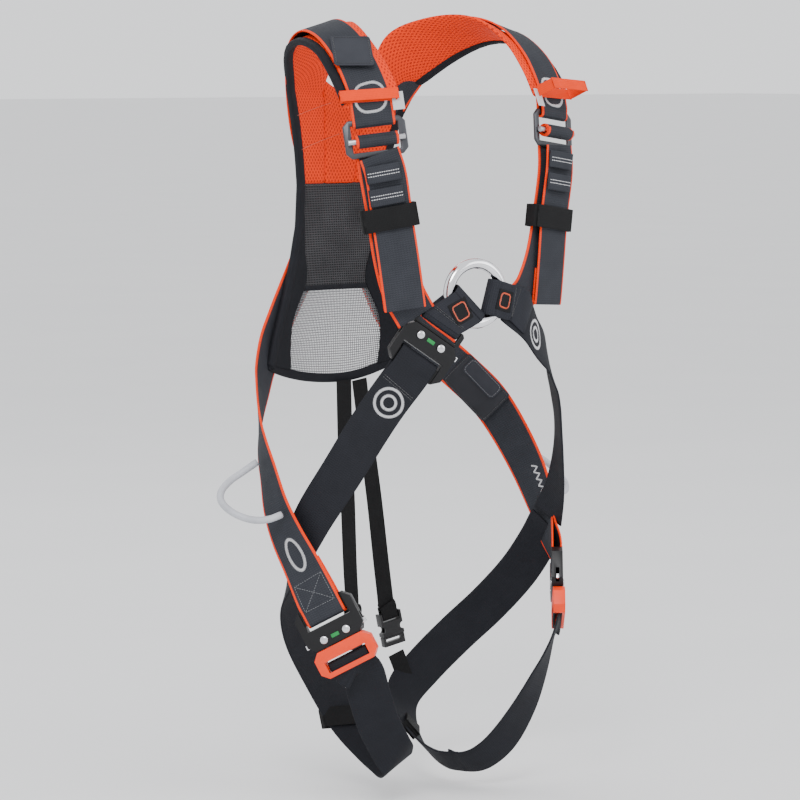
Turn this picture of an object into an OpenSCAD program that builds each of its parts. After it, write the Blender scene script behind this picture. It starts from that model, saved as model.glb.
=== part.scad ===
// Full-body safety harness hung as if worn: shoulder yoke, sternal ring, waist straps and leg loops.
// Units are millimetres. X points to the wearer's left, Y to the wearer's back and Z up.
// The origin is on the wearer's torso axis at waist level.

/* [Webbing] */
// Width of the load-bearing webbing
web_w = 45; // [42:1:46]
// Thickness of the load-bearing webbing
web_t = 2.2; // [1.6:0.1:2.4]
// Width of the elastic straps behind the legs
elastic_w = 20; // [16:1:21]
// Thickness of the elastic straps
elastic_t = 2; // [1.6:0.1:2.2]

/* [Yoke] */
// Thickness of the padded shoulder and back panels
pad_t = 5; // [4:0.5:6]
// Width of the shoulder pads
pad_w = 62; // [56:1:66]
// Thickness of the open mesh panel over the small of the back
mesh_t = 3; // [2:0.5:4]
// Width of the binding tape around the panels
binding_w = 9; // [6:1:10]

/* [Rings] */
// Wire diameter of the sternal and dorsal rings
ring_wire_d = 12; // [10:0.5:12]
// Outer diameter of the sternal ring
ring_d = 75; // [72:1:78]

/* [Quick buckles] */
// Width of a quick buckle
buckle_w = 66; // [64:1:70]
// Length of a quick buckle's body
buckle_l = 46; // [45:1:48]
// Thickness of a quick buckle's body
buckle_t = 12; // [11.5:0.5:13]

/* [Adjusters] */
// Width of a shoulder adjuster frame
adjuster_w = 66; // [64:1:70]
// Height of a shoulder adjuster frame
adjuster_h = 40; // [39:1:42]
// Plate thickness of a shoulder adjuster frame
adjuster_t = 3; // [2.5:0.5:3.5]
// Diameter of an adjuster's sliding bar
bar_d = 6; // [5:0.5:6]

/* [Gear loops] */
// Diameter of the gear loop tube
gear_d = 8; // [6:0.5:9]

/* [Hidden] */
$fn = 48;

// Places of the hardware: point, facing azimuth, facing elevation and roll in its own plane.
// A piece is drawn facing -Y with its strap along Z, then tilted, rolled and turned into place.
sternal_ring_at = [[0, -110, 120], -12, 0, 0];
dorsal_ring_at = [[0, 132, 205], 180, 0, 0];
chest_buckle_at = [[-66, -101, 60], -25, 0, 35];
leg_buckle_right_at = [[-160, -64, -218], -50, 0, -28];
leg_buckle_left_at = [[158, -64, -196], 50, 0, 28];
adjuster_right_at = [[-125, -97, 285], -30, 8, -7];
adjuster_left_at = [[125, -92, 290], 12, 8, 7];
socket_right_at = [[2, 98, -262], 187, 0, -3];
socket_left_at = [[57, 98, -262], 172, 0, 12];
ring_loop_right_at = [[-5.5, -108.8, 114.5], -12, 0, 225];
ring_loop_left_at = [[11.5, -112.4, 117], -12, 0, 105];
patch_at = [[-131, -66, 372], -30, 47, 0];
keeper_right_at = [[-112, -103.5, 202], -30, 0, -10];
keeper_left_at = [[113, -100, 196], 8, 0, 8];
lanyard_right_at = [[-129, -90, 326], -30, 24, -4];
lanyard_left_at = [[127, -88, 328], 14, 24, 4];
leg_keeper_right_at = [[-60, 36, -342], 165, -28, 0];
leg_keeper_left_at = [[40, 44, -364], 230, -40, 0];
pocket_at = [[141, 49, 3], 127, 0, 45];

// Strap routes: point, then the facing azimuth and elevation of the strap's outer side.
// An elevation past 90 faces backwards over the shoulder.
main_right_route = [
  [-125, -100, 306, -30, 12], [-129, -89, 335, -30, 28], [-131, -68, 368, -30, 45],
  [-129, -35, 393, -45, 66], [-122, 3, 400, -90, 73], [-108, 42, 384, -153, 56],
  [-82, 80, 338, -163, 33], [-45, 112, 275, -174, 12], [0, 125, 215, 0, 180],
  [30, 123, 170, 175, 0], [55, 119, 125, 168, 0], [75, 113, 85, 155, 0],
  [94, 99, 60, 145, 0], [114, 78, 38, 138, 0], [132, 58, 15, 130, 0], [150, 40, -10, 124, 0],
  [165, 22, -45, 115, 0], [175, 2, -85, 105, 0], [178, -16, -122, 90, 0], [174, -34, -150, 70, 0],
  [168, -48, -172, 55, 0]];
main_left_route = [
  [126, -95, 308, 12, 12], [127, -84, 338, 14, 28], [126, -62, 370, 18, 45],
  [118, -30, 396, 40, 66], [101, 6, 403, 90, 68], [82, 45, 387, 133, 52],
  [58, 84, 338, 142, 35], [34, 114, 275, 166, 12], [0, 128, 215, 0, 180],
  [-30, 123, 170, -175, 0], [-60, 117, 125, -170, 0], [-88, 110, 85, -165, 0],
  [-112, 100, 52, -162, 0], [-140, 76, 20, -155, 0], [-165, 48, -8, -135, 0],
  [-178, 28, -38, -118, 0], [-184, 8, -70, -105, 0], [-185, -6, -103, -92, 0],
  [-182, -20, -131, -80, 0], [-176, -36, -160, -68, 0], [-168, -50, -190, -56, 0]];
pad_right_route = [
  [-124, -92, 322, -30, 20], [-127, -76, 350, -30, 38], [-127, -48, 378, -30, 58],
  [-123, -10, 392, -85, 72], [-112, 30, 383, -152, 60], [-92, 64, 358, -160, 42],
  [-68, 88, 330, -165, 30]];
pad_left_route = [
  [125, -88, 322, 14, 20], [125, -70, 352, 16, 38], [119, -42, 382, 30, 56],
  [105, -5, 396, 90, 66], [87, 34, 385, 132, 53], [66, 68, 357, 141, 37],
  [46, 88, 330, 156, 30]];
front_right_route = [
  [-118, -97, 245, -30, 5], [-111, -100, 203, -30, 5],
  [-104, -102, 160, -30, 0], [-93, -103, 125, -28, 0], [-76, -104, 98, -25, 0]];
front_left_route = [
  [122, -94, 245, 8, 5], [114, -95, 200, 8, 5],
  [100, -98, 155, 10, 0], [82, -100, 122, 15, 0], [66, -100, 106, 20, 0]];
tail_right_route = [
  [-119, -107, 245, -30, 5], [-112, -108, 203, -30, 5],
  [-106, -111, 160, -30, 0], [-100, -114, 112, -30, 0]];
tail_left_route = [
  [124, -104, 245, 8, 5], [118, -103, 200, 8, 5],
  [114, -103, 155, 8, 0], [111, -101, 108, 8, 0]];
chest_right_route = [
  [-104, -90, 10, -38, 0], [-124, -82, -20, -44, 0],
  [-146, -66, -64, -54, 0], [-162, -44, -106, -66, 0], [-168, -26, -138, -80, 0]];
chest_left_route = [
  [68, -114, 90, 25, 0], [90, -105, 70, 42, 0], [118, -90, 50, 55, 0], [138, -76, 25, 64, 0],
  [150, -70, 0, 62, 0], [158, -66, -30, 58, 0], [164, -60, -65, 62, 0], [168, -50, -105, 75, 0],
  [170, -36, -135, 95, 0]];
leg_right_route = [
  [-168, -26, -142, -85, 0], [-166, -6, -170, -120, 0], [-152, 18, -202, -150, 0],
  [-126, 38, -245, -160, -5], [-84, 48, -300, -175, -15], [-58, 34, -345, -195, -30],
  [-48, 0, -372, -235, -50], [-53, -40, -385, -300, -58]];
leg_left_route = [
  [172, -30, -142, 100, 0], [176, -12, -166, 118, 0], [174, 18, -202, 130, -5],
  [160, 51, -240, 140, -10], [135, 78, -275, 150, -15], [100, 91, -309, 165, -20],
  [62, 82, -334, 190, -30], [42, 54, -356, 220, -40], [37, 22, -380, 250, -50],
  [42, -6, -394, 285, -55], [54, -28, -396, 315, -52]];
leg_front_right_route = [
  [-54, -42, -385, -305, -57], [-62, -57, -377, -335, -40], [-76, -63, -362, -28, -18], [-100, -70, -330, -34, -8],
  [-118, -76, -295, -40, -4], [-132, -84, -272, -48, 0]];
leg_front_left_route = [
  [55, -30, -396, 318, -52], [68, -45, -390, 335, -42], [87, -58, -370, 350, -30], [107, -70, -334, 10, -18],
  [124, -78, -294, 30, -8], [135, -86, -256, 46, 0]];
elastic_right_route = [
  [2, 112, 14, 180, 0], [4, 112, -60, 180, 0], [5, 109, -120, 182, 0],
  [4, 104, -190, 185, 0], [3, 99, -236, 187, 0]];
elastic_left_route = [
  [24, 112, 14, 180, 0], [33, 111, -50, 180, 0], [42, 108, -120, 177, 0],
  [48, 104, -187, 174, 0], [51, 99, -236, 172, 0]];
plug_right_route = [[0, 92, -294, 190, 0], [-24, 74, -300, 185, -10], [-56, 58, -306, 180, -15]];
plug_left_route = [[63, 96, -292, 172, 0], [68, 94, -306, 170, -8], [74, 92, -322, 168, -15]];

// Arm-side edges of the yoke, from the hem up and over the shoulder to the pad's front end
yoke_edge_right = [
  [-120, 92, 34, -165, 0], [-102, 100, 73, -170, 0], [-80, 107, 125, -172, 0],
  [-63, 111, 185, -170, 0], [-62, 110, 235, -170, 0], [-76, 102, 280, -168, 12],
  [-93, 90, 315, -164, 31], [-116, 69, 343, -163, 39], [-138, 36, 373, -156, 58],
  [-150, -4, 383, -89, 72], [-155, -43, 372, -28, 55], [-154, -70, 342, -28, 34]];
yoke_edge_left = [
  [92, 103, 45, 165, 0], [76, 108, 85, 170, 0], [62, 111, 130, 172, 0],
  [56, 112, 190, 170, 0], [58, 110, 240, 170, 0], [63, 101, 285, 165, 12],
  [72, 87, 315, 161, 25], [89, 67, 339, 153, 28], [111, 38, 369, 148, 46],
  [130, 6, 385, 108, 68], [146, -32, 379, 30, 56], [153, -66, 350, 16, 37]];
hem_edge = [
  [-118, 92, 30, -165, 0], [-84, 106, 19, -170, 0], [-40, 116, 13, 180, 0], [0, 119, 12, 180, 0],
  [36, 117, 17, 180, 0], [68, 111, 29, 170, 0], [90, 103, 42, 165, 0]];

// Rows of the back panel: height, right edge, left edge and distance behind the torso axis
panel_rows = [
  [13, -119, 91, 120], [60, -108, 84, 120], [90, -94, 74, 120],
  [118, -82, 66, 120], [150, -72, 60, 119], [185, -63, 56, 119], [230, -62, 58, 117],
  [265, -70, 62, 112], [300, -84, 68, 105], [335, -104, 80, 95]];
panel_curve = 0.002;
panel_columns = 8;
hem_rise_right = 0.0015;
hem_rise_left = 0.0035;
mid_t = 4;

// Centre line of the right gear loop's tube
gear_route = [
  [-188, 22, -56], [-200, 30, -66], [-216, 34, -76], [-230, 30, -86], [-236, 20, -96],
  [-232, 4, -106], [-220, -10, -112], [-205, -18, -112], [-190, -21, -108]];

tube_sides = 10;
step_count = 3;
snug = 0.3;

// Shoulder adjusters
bar_y = -adjuster_t / 2 - snug - bar_d / 2;
bar_rest_z = -3;
roll_r = 8;

// Rings
ring_gap = ring_wire_d / 2 + 1;
dorsal_r = 28;
dorsal_bar_y = -3 - ring_wire_d / 2;
dorsal_bar_z = 4;
dorsal_wrap_w = 40;

// Quick buckles
bar_gap = 3.4;
rivet_x = 13.2;
rivet_z = 14.4;
rivet_d = 4;
lever_t = 3;
lever_reach = 35.5;
tongue_w = 16;
tongue_t = 4;
mouth_z = buckle_l / 2 + 0.4;

// Label pocket and side-release buckles
flap_w = 20;
flap_y = 6.2;
socket_w = 27;
socket_t = 10;

// ---- Geometry helpers ----

function unit(v) = v / norm(v);
function facing(az, el) = [sin(az) * cos(el), -cos(az) * cos(el), sin(el)];
function turn_x(v, a) = [v[0], v[1] * cos(a) - v[2] * sin(a), v[1] * sin(a) + v[2] * cos(a)];
function turn_y(v, a) = [v[0] * cos(a) + v[2] * sin(a), v[1], v[2] * cos(a) - v[0] * sin(a)];
function turn_z(v, a) = [v[0] * cos(a) - v[1] * sin(a), v[0] * sin(a) + v[1] * cos(a), v[2]];
function turned(place, v) = turn_z(turn_x(turn_y(v, place[3]), -place[2]), place[1]);
function placed(place, v) = place[0] + turned(place, v);

// A row holds the point and the outward normal as six numbers.
function row_of(r) = concat([r[0], r[1], r[2]], facing(r[3], r[4]));
function local_row(place, point, normal) = concat(placed(place, point), turned(place, normal));
function curve(a, b, c, d, t) =
  0.5 * (2 * b + (c - a) * t + (2 * a - 5 * b + 4 * c - d) * t * t + (3 * b - a - 3 * c + d) * t * t * t);
function smooth_rows(rows, n) = let (last = len(rows) - 1) concat(
  [for (i = [0:last - 1]) for (k = [0:n - 1])
    curve(i == 0 ? 2 * rows[0] - rows[1] : rows[i - 1], rows[i], rows[i + 1],
      i + 1 == last ? 2 * rows[last] - rows[last - 1] : rows[i + 2], k / n)],
  [rows[last]]);
function smooth_points(points, n) = [for (r = smooth_rows(points, n)) r];
function xyz(r) = [r[0], r[1], r[2]];
function normal_of(r) = [r[3], r[4], r[5]];
function heading(rows, i) =
  unit(xyz(rows[min(i + 1, len(rows) - 1)]) - xyz(rows[max(i - 1, 0)]));

module ribbon(rows, width, thick) {
  count = len(rows);
  points = [for (i = [0:count - 1])
    let (along = heading(rows, i), side = unit(cross(along, normal_of(rows[i]))), out = cross(side, along))
    for (c = [[1, 1], [-1, 1], [-1, -1], [1, -1]])
      xyz(rows[i]) + side * c[0] * width / 2 + out * c[1] * thick / 2];
  sides = [for (i = [0:count - 2]) for (k = [0:3])
    let (a = 4 * i + k, b = 4 * i + (k + 1) % 4) each [[a, b, a + 4], [b, b + 4, a + 4]]];
  last = 4 * (count - 1);
  ends = [[2, 1, 0], [3, 2, 0], [last, last + 1, last + 2], [last, last + 2, last + 3]];
  polyhedron(points, concat(sides, ends));
}

module strap(route, width = web_w, thick = web_t, n = step_count) {
  ribbon(smooth_rows([for (r = route) row_of(r)], n), width, thick);
}

module tube(points, d) {
  count = len(points);
  rings = [for (i = [0:count - 1])
    let (along = unit(points[min(i + 1, count - 1)] - points[max(i - 1, 0)]),
      side = unit(cross(along, [0, 0, 1])), up = cross(side, along))
    for (k = [0:tube_sides - 1])
      points[i] + d / 2 * (side * cos(360 * k / tube_sides) + up * sin(360 * k / tube_sides))];
  walls = [for (i = [0:count - 2]) for (k = [0:tube_sides - 1])
    let (a = tube_sides * i + k, b = tube_sides * i + (k + 1) % tube_sides)
      each [[a, b, a + tube_sides], [b, b + tube_sides, a + tube_sides]]];
  first = [for (k = [tube_sides - 1:-1:0]) k];
  final = [for (k = [0:tube_sides - 1]) tube_sides * (count - 1) + k];
  polyhedron(rings, concat(walls, [first, final]));
}

module at(place) {
  translate(place[0]) rotate([0, 0, place[1]]) rotate([-place[2], 0, 0]) rotate([0, place[3], 0])
    children();
}

// A chamfered plate standing in the XZ plane
module plate(w, h, t, c) {
  rotate([90, 0, 0]) linear_extrude(t, center = true)
    polygon([[c - w / 2, -h / 2], [w / 2 - c, -h / 2], [w / 2, c - h / 2], [w / 2, h / 2 - c],
      [w / 2 - c, h / 2], [c - w / 2, h / 2], [-w / 2, h / 2 - c], [-w / 2, c - h / 2]]);
}

module block(w, t, h, at = [0, 0, 0]) {
  translate(at) cube([w, t, h], center = true);
}

// Webbing folded round a bar that runs along X at the origin; the strap leaves along +Z.
module bight(width, inner_r, thick, reach) {
  rotate([90, 0, 90]) linear_extrude(width, center = true) difference() {
    union() {
      circle(inner_r + thick);
      translate([-inner_r - thick, 0]) square([2 * (inner_r + thick), reach]);
    }
    circle(inner_r);
    translate([-inner_r, 0]) square([2 * inner_r, reach - thick]);
  }
}

// ---- Yoke ----

function panel_z(row, x) = row[0] + (row[0] > 20 ? 0 : x * x * (x < 0 ? hem_rise_right : hem_rise_left));
function panel_point(row, u, y_shift) = let (x = row[1] + (row[2] - row[1]) * u)
  [x, row[3] - panel_curve * x * x + y_shift, panel_z(row, x)];

module panel(first, last, thick) {
  across = panel_columns + 1;
  count = last - first + 1;
  layer = across * count;
  points = [for (side = [1, -1]) for (i = [first:last]) for (k = [0:panel_columns])
    panel_point(panel_rows[i], k / panel_columns, side * thick / 2)];
  faces = [for (i = [0:count - 2]) for (k = [0:panel_columns - 1])
    let (a = i * across + k, b = a + 1, c = a + across, d = c + 1)
      each [[a, b, d], [a, d, c], [layer + a, layer + d, layer + b], [layer + a, layer + c, layer + d]]];
  rim = concat([for (k = [0:panel_columns]) k],
    [for (i = [1:count - 1]) i * across + panel_columns],
    [for (k = [panel_columns - 1:-1:0]) (count - 1) * across + k],
    [for (i = [count - 2:-1:1]) i * across]);
  walls = [for (k = [0:len(rim) - 1]) let (a = rim[k], b = rim[(k + 1) % len(rim)])
    each [[a, layer + a, b], [b, layer + a, layer + b]]];
  polyhedron(points, concat(faces, walls));
}

module back_mesh_panel() { color("#c9c9c9") panel(0, 3, mesh_t); }
module back_panel_mid() { color("#3a3b40") panel(3, 6, mid_t); }
module back_pad_upper() { color("#ff5022") panel(6, 9, pad_t); }
module shoulder_pad(route) { color("#ff5022") strap(route, pad_w, pad_t); }

module yoke_binding() {
  color("#26272b") {
    strap(yoke_edge_right, binding_w, pad_t + 1, 2);
    strap(yoke_edge_left, binding_w, pad_t + 1, 2);
    strap(hem_edge, binding_w, mesh_t + 1.5, 2);
  }
}

// ---- Main webbing: shoulder adjuster, over the shoulder, across the back, to a leg buckle ----

module main_webbing(route, adjuster, buckle) {
  color("#4a4c53") {
    strap([for (i = [1:len(route) - 2]) route[i]]);
    ribbon(smooth_rows([local_row(adjuster, [0, 0, 26], [0, -1, 0]), row_of(route[1])], 2), web_w, 2 * web_t);
    at(adjuster) translate([0, 0, 15.2]) bight(web_w, 2.2, web_t, 12);
    ribbon([row_of(route[len(route) - 2]), local_row(buckle, [0, 0, 29], [0, -1, 0])], web_w, 2 * web_t);
    at(buckle) translate([0, 0, 7.9]) bight(web_w, bar_gap, web_t, 22);
  }
}

// The back straps' turn round the dorsal ring's bar, through the plate
module dorsal_wrap() {
  color("#4a4c53") at(dorsal_ring_at) translate([0, dorsal_bar_y, dorsal_bar_z]) rotate([-90, 0, 0])
    bight(dorsal_wrap_w, ring_wire_d / 2 + snug, web_t, 10);
}

module main_webbing_right() { main_webbing(main_right_route, adjuster_right_at, leg_buckle_left_at); }

module main_webbing_left() {
  main_webbing(main_left_route, adjuster_left_at, leg_buckle_right_at);
  dorsal_wrap();
}

module dorsal_plate() {
  color("#1c1c1e") at(dorsal_ring_at) difference() {
    plate(84, 62, 5, 14);
    block(dorsal_wrap_w + 2, 8, ring_wire_d + 9, [0, 0, dorsal_bar_z]);
  }
}

// A D shape: a straight bar in the plate and half a ring that hangs below it
module dorsal_ring() {
  color("#c8cacc") at(dorsal_ring_at) translate([0, dorsal_bar_y, dorsal_bar_z]) {
    rotate([0, 90, 0]) cylinder(h = 2 * dorsal_r, d = ring_wire_d, center = true);
    rotate([90, 0, 0]) intersection() {
      rotate_extrude() translate([dorsal_r, 0]) circle(d = ring_wire_d);
      translate([-60, -60, -20]) cube([120, 60, 40]);
    }
  }
}

module name_patch() {
  color("#303238") at(patch_at) translate([0, -web_t / 2 - 1.2, 0]) plate(42, 44, 1.6, 3);
}

// ---- Shoulder adjusters and the webbing in them ----

module adjuster_frame(place) {
  color("#5b5d61") at(place) difference() {
    plate(adjuster_w, adjuster_h, adjuster_t, 6);
    block(50, 10, 28, [0, 0, 0]);
  }
}

module adjuster_bar(place) {
  color("#8c8f93") at(place) translate([0, bar_y, bar_rest_z])
    rotate([0, 90, 0]) cylinder(h = adjuster_w - 6, d = bar_d, center = true);
}

module strap_roll(place) {
  color("#4a4c53") at(place) translate([0, bar_y, bar_rest_z]) rotate([0, 90, 0]) difference() {
    cylinder(h = web_w, r = roll_r, center = true);
    cylinder(h = web_w + 2, d = bar_d, center = true);
  }
}

module front_webbing(front, tail, place) {
  color("#4a4c53") {
    ribbon(smooth_rows(concat([local_row(place, [0, 3.6, -15], [0, -1, 0])], [for (r = front) row_of(r)]), 3),
      web_w, web_t);
    ribbon(smooth_rows(concat([local_row(place, [0, -8, -18], [0, -1, 0])], [for (r = tail) row_of(r)]), 3),
      web_w - 1, 1.6 * web_t);
  }
}

module front_webbing_right() { front_webbing(front_right_route, tail_right_route, adjuster_right_at); }
module front_webbing_left() { front_webbing(front_left_route, tail_left_route, adjuster_left_at); }

// A flat band of webbing or elastic that passes round a strap at a given place
module keeper(place, length, thick, room) {
  at(place) difference() {
    block(web_w + 2 * (room + thick), 2 * (room + thick) + web_t, length);
    block(web_w + 2 * room, 2 * room + web_t, length + 2);
  }
}

module tail_elastic(keeper_place, above) {
  at(keeper_place) translate([0, above[0], above[1]]) plate(36, 18, 3, 2);
}

// Two raised elastic bands on each front strap that hold the lanyard keeper's spare ends
module tail_elastics() {
  color("#5a5d66") {
    for (above = [[-9, 23], [-11.5, 47]]) tail_elastic(keeper_right_at, above);
    for (above = [[-11, 38], [-10.5, 62]]) tail_elastic(keeper_left_at, above);
  }
}

module elastic_keeper(place) { color("#141416") keeper(place, 24, 1.6, 6); }

module lanyard_keepers() {
  color("#ff5a30") {
    at(lanyard_right_at) keeper_band(4);
    at(lanyard_left_at) keeper_band(22);
  }
}

// A band that stands off the strap by the given bulge, on a backing that lies on the webbing
module keeper_band(bulge) {
  translate([0, -web_t / 2 - 1.4, 0]) difference() {
    translate([0, -bulge / 2, 0]) cube([60, bulge + 2, 12], center = true);
    translate([0, -bulge / 2, 0]) cube([56, bulge - 0.4, 14], center = true);
  }
}

// ---- Sternal ring and its loops ----

module sternal_ring() {
  color("#d5d7d9") at(sternal_ring_at) rotate([90, 0, 0])
    rotate_extrude() translate([(ring_d - ring_wire_d) / 2, 0]) circle(d = ring_wire_d);
}

module ring_bight(place, width, reach) {
  at(place) translate([0, 0, ring_gap + web_t]) bight(width, ring_gap, web_t, reach);
}

module sternal_loop_right() {
  color("#33353b") {
    ring_bight(ring_loop_right_at, web_w, 31);
    at(chest_buckle_at) translate([0, 0, 36.2]) bight(web_w, 3.2, web_t, 12);
  }
}

module sternal_loop_left() {
  color("#33353b") {
    ring_bight(ring_loop_left_at, 38, 32);
    ribbon([local_row(ring_loop_left_at, [0, 0, 38], [0, -1, 0]), row_of(chest_left_route[0])], web_w - 2, 2 * web_t);
  }
}

// ---- Quick buckle, drawn with its strap bar below and its mouth above ----

module buckle_body() {
  difference() {
    plate(buckle_w, buckle_l, buckle_t, 8);
    block(tongue_w + 0.8, tongue_t + 0.8, 22, [0, 0, 14]);
    block(50, buckle_t + 2, 7, [0, 0, -3]);
    for (side = [-1, 1]) {
      block(50, (buckle_t - 6) / 2 + 2, 18, [0, side * (4 + (buckle_t - 6) / 4), -15.4]);
      block(30, lever_t + 0.8, 15, [side * 24.4, 0, 11.4]);
      translate([side * rivet_x, 0, rivet_z]) rotate([90, 0, 0])
        cylinder(h = buckle_t + 2, d = rivet_d, center = true);
    }
    block(9, 1.2, 4, [0, -buckle_t / 2, rivet_z]);
  }
}

module rivets() {
  for (side = [-1, 1]) translate([side * rivet_x, 0, rivet_z]) rotate([90, 0, 0]) {
    cylinder(h = buckle_t + 0.4, d = rivet_d, center = true);
    for (face = [-1, 1]) translate([0, 0, face * (buckle_t / 2 + 0.5)]) cylinder(h = 1, d = 6.5, center = true);
  }
}

module indicator() { block(9, 1.1, 4, [0, 0.05 - buckle_t / 2, rivet_z]); }

// side is 1 for the lever at +X and -1 for the one at -X
module lever(side) {
  difference() {
    union() {
      translate([side * rivet_x, 0, rivet_z]) rotate([90, 0, 0]) cylinder(h = lever_t, r = 3.4, center = true);
      block(lever_reach - rivet_x, lever_t, 5, [side * (lever_reach + rivet_x) / 2, 0, rivet_z]);
    }
    translate([side * rivet_x, 0, rivet_z]) rotate([90, 0, 0])
      cylinder(h = lever_t + 2, d = rivet_d + 0.12, center = true);
  }
}

module chest_tongue() {
  block(tongue_w, tongue_t, 19, [0, 0, mouth_z - 9]);
  difference() {
    translate([0, 0, mouth_z + 8.5]) plate(58, 17, 7, 3);
    block(48, 10, 8, [0, 0, mouth_z + 7]);
    for (side = [-1, 1]) block(48, 4, 9, [0, side * 4.2, mouth_z + 13.4]);
  }
}

// The leg tongue has a deep cover with a window over its strap bar
module leg_tongue() {
  block(tongue_w, tongue_t, 19, [0, 0, mouth_z - 9]);
  difference() {
    translate([0, -1.5, mouth_z + 15]) plate(buckle_w, 30, 13, 7);
    block(48, 20, 12, [0, 0, mouth_z + 18.6]);
    block(48, 10.2, 12, [0, 0.3, mouth_z + 26]);
  }
  translate([0, 0, mouth_z + 18.6]) rotate([0, 90, 0]) cylinder(h = 49, d = 4, center = true);
}

module chest_buckle_body() { color("#1b1b1d") at(chest_buckle_at) buckle_body(); }
module chest_buckle_tongue() { color("#1b1b1d") at(chest_buckle_at) chest_tongue(); }
module chest_lever(side) { color("#c0c2c4") at(chest_buckle_at) lever(side); }
module chest_buckle_rivets() { color("#c0c2c4") at(chest_buckle_at) rivets(); }
module chest_buckle_indicator() { color("#2f9e52") at(chest_buckle_at) indicator(); }

module flipped(place) { at(place) rotate([0, 180, 0]) children(); }
module leg_buckle_body(place) { color("#1b1b1d") flipped(place) buckle_body(); }
module leg_buckle_tongue(place) { color("#ff5a30") flipped(place) leg_tongue(); }
module leg_lever(place, side) { color("#c0c2c4") flipped(place) lever(side); }
module leg_buckle_rivets() {
  color("#c0c2c4") for (place = [leg_buckle_right_at, leg_buckle_left_at]) flipped(place) rivets();
}
module leg_buckle_indicators() {
  color("#2f9e52") for (place = [leg_buckle_right_at, leg_buckle_left_at]) flipped(place) indicator();
}

// ---- Chest straps ----

module chest_strap_right() {
  color("#2e3036") {
    at(chest_buckle_at) rotate([0, 180, 0]) translate([0, 0, 7.9]) bight(web_w, bar_gap, web_t, 22);
    ribbon(smooth_rows(concat([local_row(chest_buckle_at, [0, 0, -28], [0, -1, 0])],
      [for (r = chest_right_route) row_of(r)]), step_count), web_w, web_t);
  }
}

module chest_strap_left() { color("#2e3036") strap(chest_left_route); }

module label_pocket() {
  color("#222327") at(pocket_at) translate([0, 4, 0]) plate(web_w - 2, 66, 2.4, 3);
}

module label_flap() {
  color("#3c3e44") at(pocket_at) translate([flap_w / 2 - web_w / 2, flap_y, 2]) plate(flap_w, 48, 1.2, 3);
}

// ---- Gear loops: plastic tube over a cord, its flat ends sewn to the side strap ----

function mirrored(points) = [for (p = points) [-p[0], p[1], p[2]]];

module gear_loop(points) { color("#b9bcc2") tube(smooth_points(points, 3), gear_d); }

// ---- Leg loops ----

module leg_loop(route) { color("#2e3036") strap(route); }

module leg_front(route, buckle) {
  color("#2e3036") {
    strap(route);
    at(buckle) translate([0, 0, -mouth_z - 18.6]) rotate([0, 180, 0]) bight(web_w, 2.3, web_t, 12);
  }
}

module leg_keepers() {
  color("#141416") {
    keeper(leg_keeper_right_at, 22, 1.4, 2.4);
    keeper(leg_keeper_left_at, 22, 1.4, 2.4);
  }
}

// ---- Elastics behind the legs with side-release buckles ----

module back_elastic(route, place) {
  color("#161618") {
    ribbon(smooth_rows([for (r = route) row_of(r)], step_count), elastic_w, elastic_t);
    at(place) translate([0, 0, 12.6]) bight(elastic_w, 2.3, elastic_t, 15);
  }
}

module side_release_socket(place) {
  color("#141416") at(place) difference() {
    block(socket_w, socket_t, 26, [0, 0, 4]);
    block(22, 5.4, 14, [0, 0, -3]);
    block(22, socket_t + 2, 4.6, [0, 0, 9.5]);
    for (side = [-1, 1]) {
      block(22, 4, 7, [0, side * 4, 15]);
      translate([side * 13.5, 0, -1]) rotate([90, 0, 0]) cylinder(h = socket_t + 2, r = 4, center = true);
    }
  }
}

module side_release_plug(place) {
  color("#141416") at(place) {
    block(16, 4.4, 13, [0, 0, -3]);
    difference() {
      block(socket_w, 8, 11, [0, 0, -15]);
      block(21, 12, 4, [0, 0, -14]);
    }
  }
}

module plug_webbing() {
  color("#161618") {
    strap(plug_right_route, elastic_w, elastic_t);
    strap(plug_left_route, elastic_w, elastic_t);
  }
}

back_pad_upper();
back_panel_mid();
back_mesh_panel();
yoke_binding();
shoulder_pad(pad_right_route);  // shoulder_pad_right
shoulder_pad(pad_left_route);  // shoulder_pad_left
main_webbing_right();
main_webbing_left();
dorsal_plate();
dorsal_ring();
name_patch();
adjuster_frame(adjuster_right_at);  // adjuster_frame_right
adjuster_frame(adjuster_left_at);  // adjuster_frame_left
adjuster_bar(adjuster_right_at);  // adjuster_bar_right
adjuster_bar(adjuster_left_at);  // adjuster_bar_left
strap_roll(adjuster_right_at);  // strap_roll_right
strap_roll(adjuster_left_at);  // strap_roll_left
front_webbing_right();
front_webbing_left();
tail_elastics();
elastic_keeper(keeper_right_at);  // elastic_keeper_right
elastic_keeper(keeper_left_at);  // elastic_keeper_left
lanyard_keepers();
sternal_ring();
sternal_loop_right();
sternal_loop_left();
chest_buckle_body();
chest_buckle_tongue();
chest_lever(-1);  // chest_lever_outer
chest_lever(1);  // chest_lever_inner
chest_buckle_rivets();
chest_buckle_indicator();
chest_strap_right();
chest_strap_left();
label_pocket();
label_flap();
gear_loop(gear_route);  // gear_loop_right
gear_loop(mirrored(gear_route));  // gear_loop_left
leg_loop(leg_right_route);  // leg_loop_right
leg_loop(leg_left_route);  // leg_loop_left
leg_front(leg_front_right_route, leg_buckle_right_at);  // leg_front_right
leg_front(leg_front_left_route, leg_buckle_left_at);  // leg_front_left
leg_keepers();
leg_buckle_body(leg_buckle_right_at);  // leg_buckle_body_right
leg_buckle_body(leg_buckle_left_at);  // leg_buckle_body_left
leg_buckle_tongue(leg_buckle_right_at);  // leg_buckle_tongue_right
leg_buckle_tongue(leg_buckle_left_at);  // leg_buckle_tongue_left
leg_lever(leg_buckle_right_at, 1);  // leg_lever_right_outer
leg_lever(leg_buckle_right_at, -1);  // leg_lever_right_inner
leg_lever(leg_buckle_left_at, -1);  // leg_lever_left_outer
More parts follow.
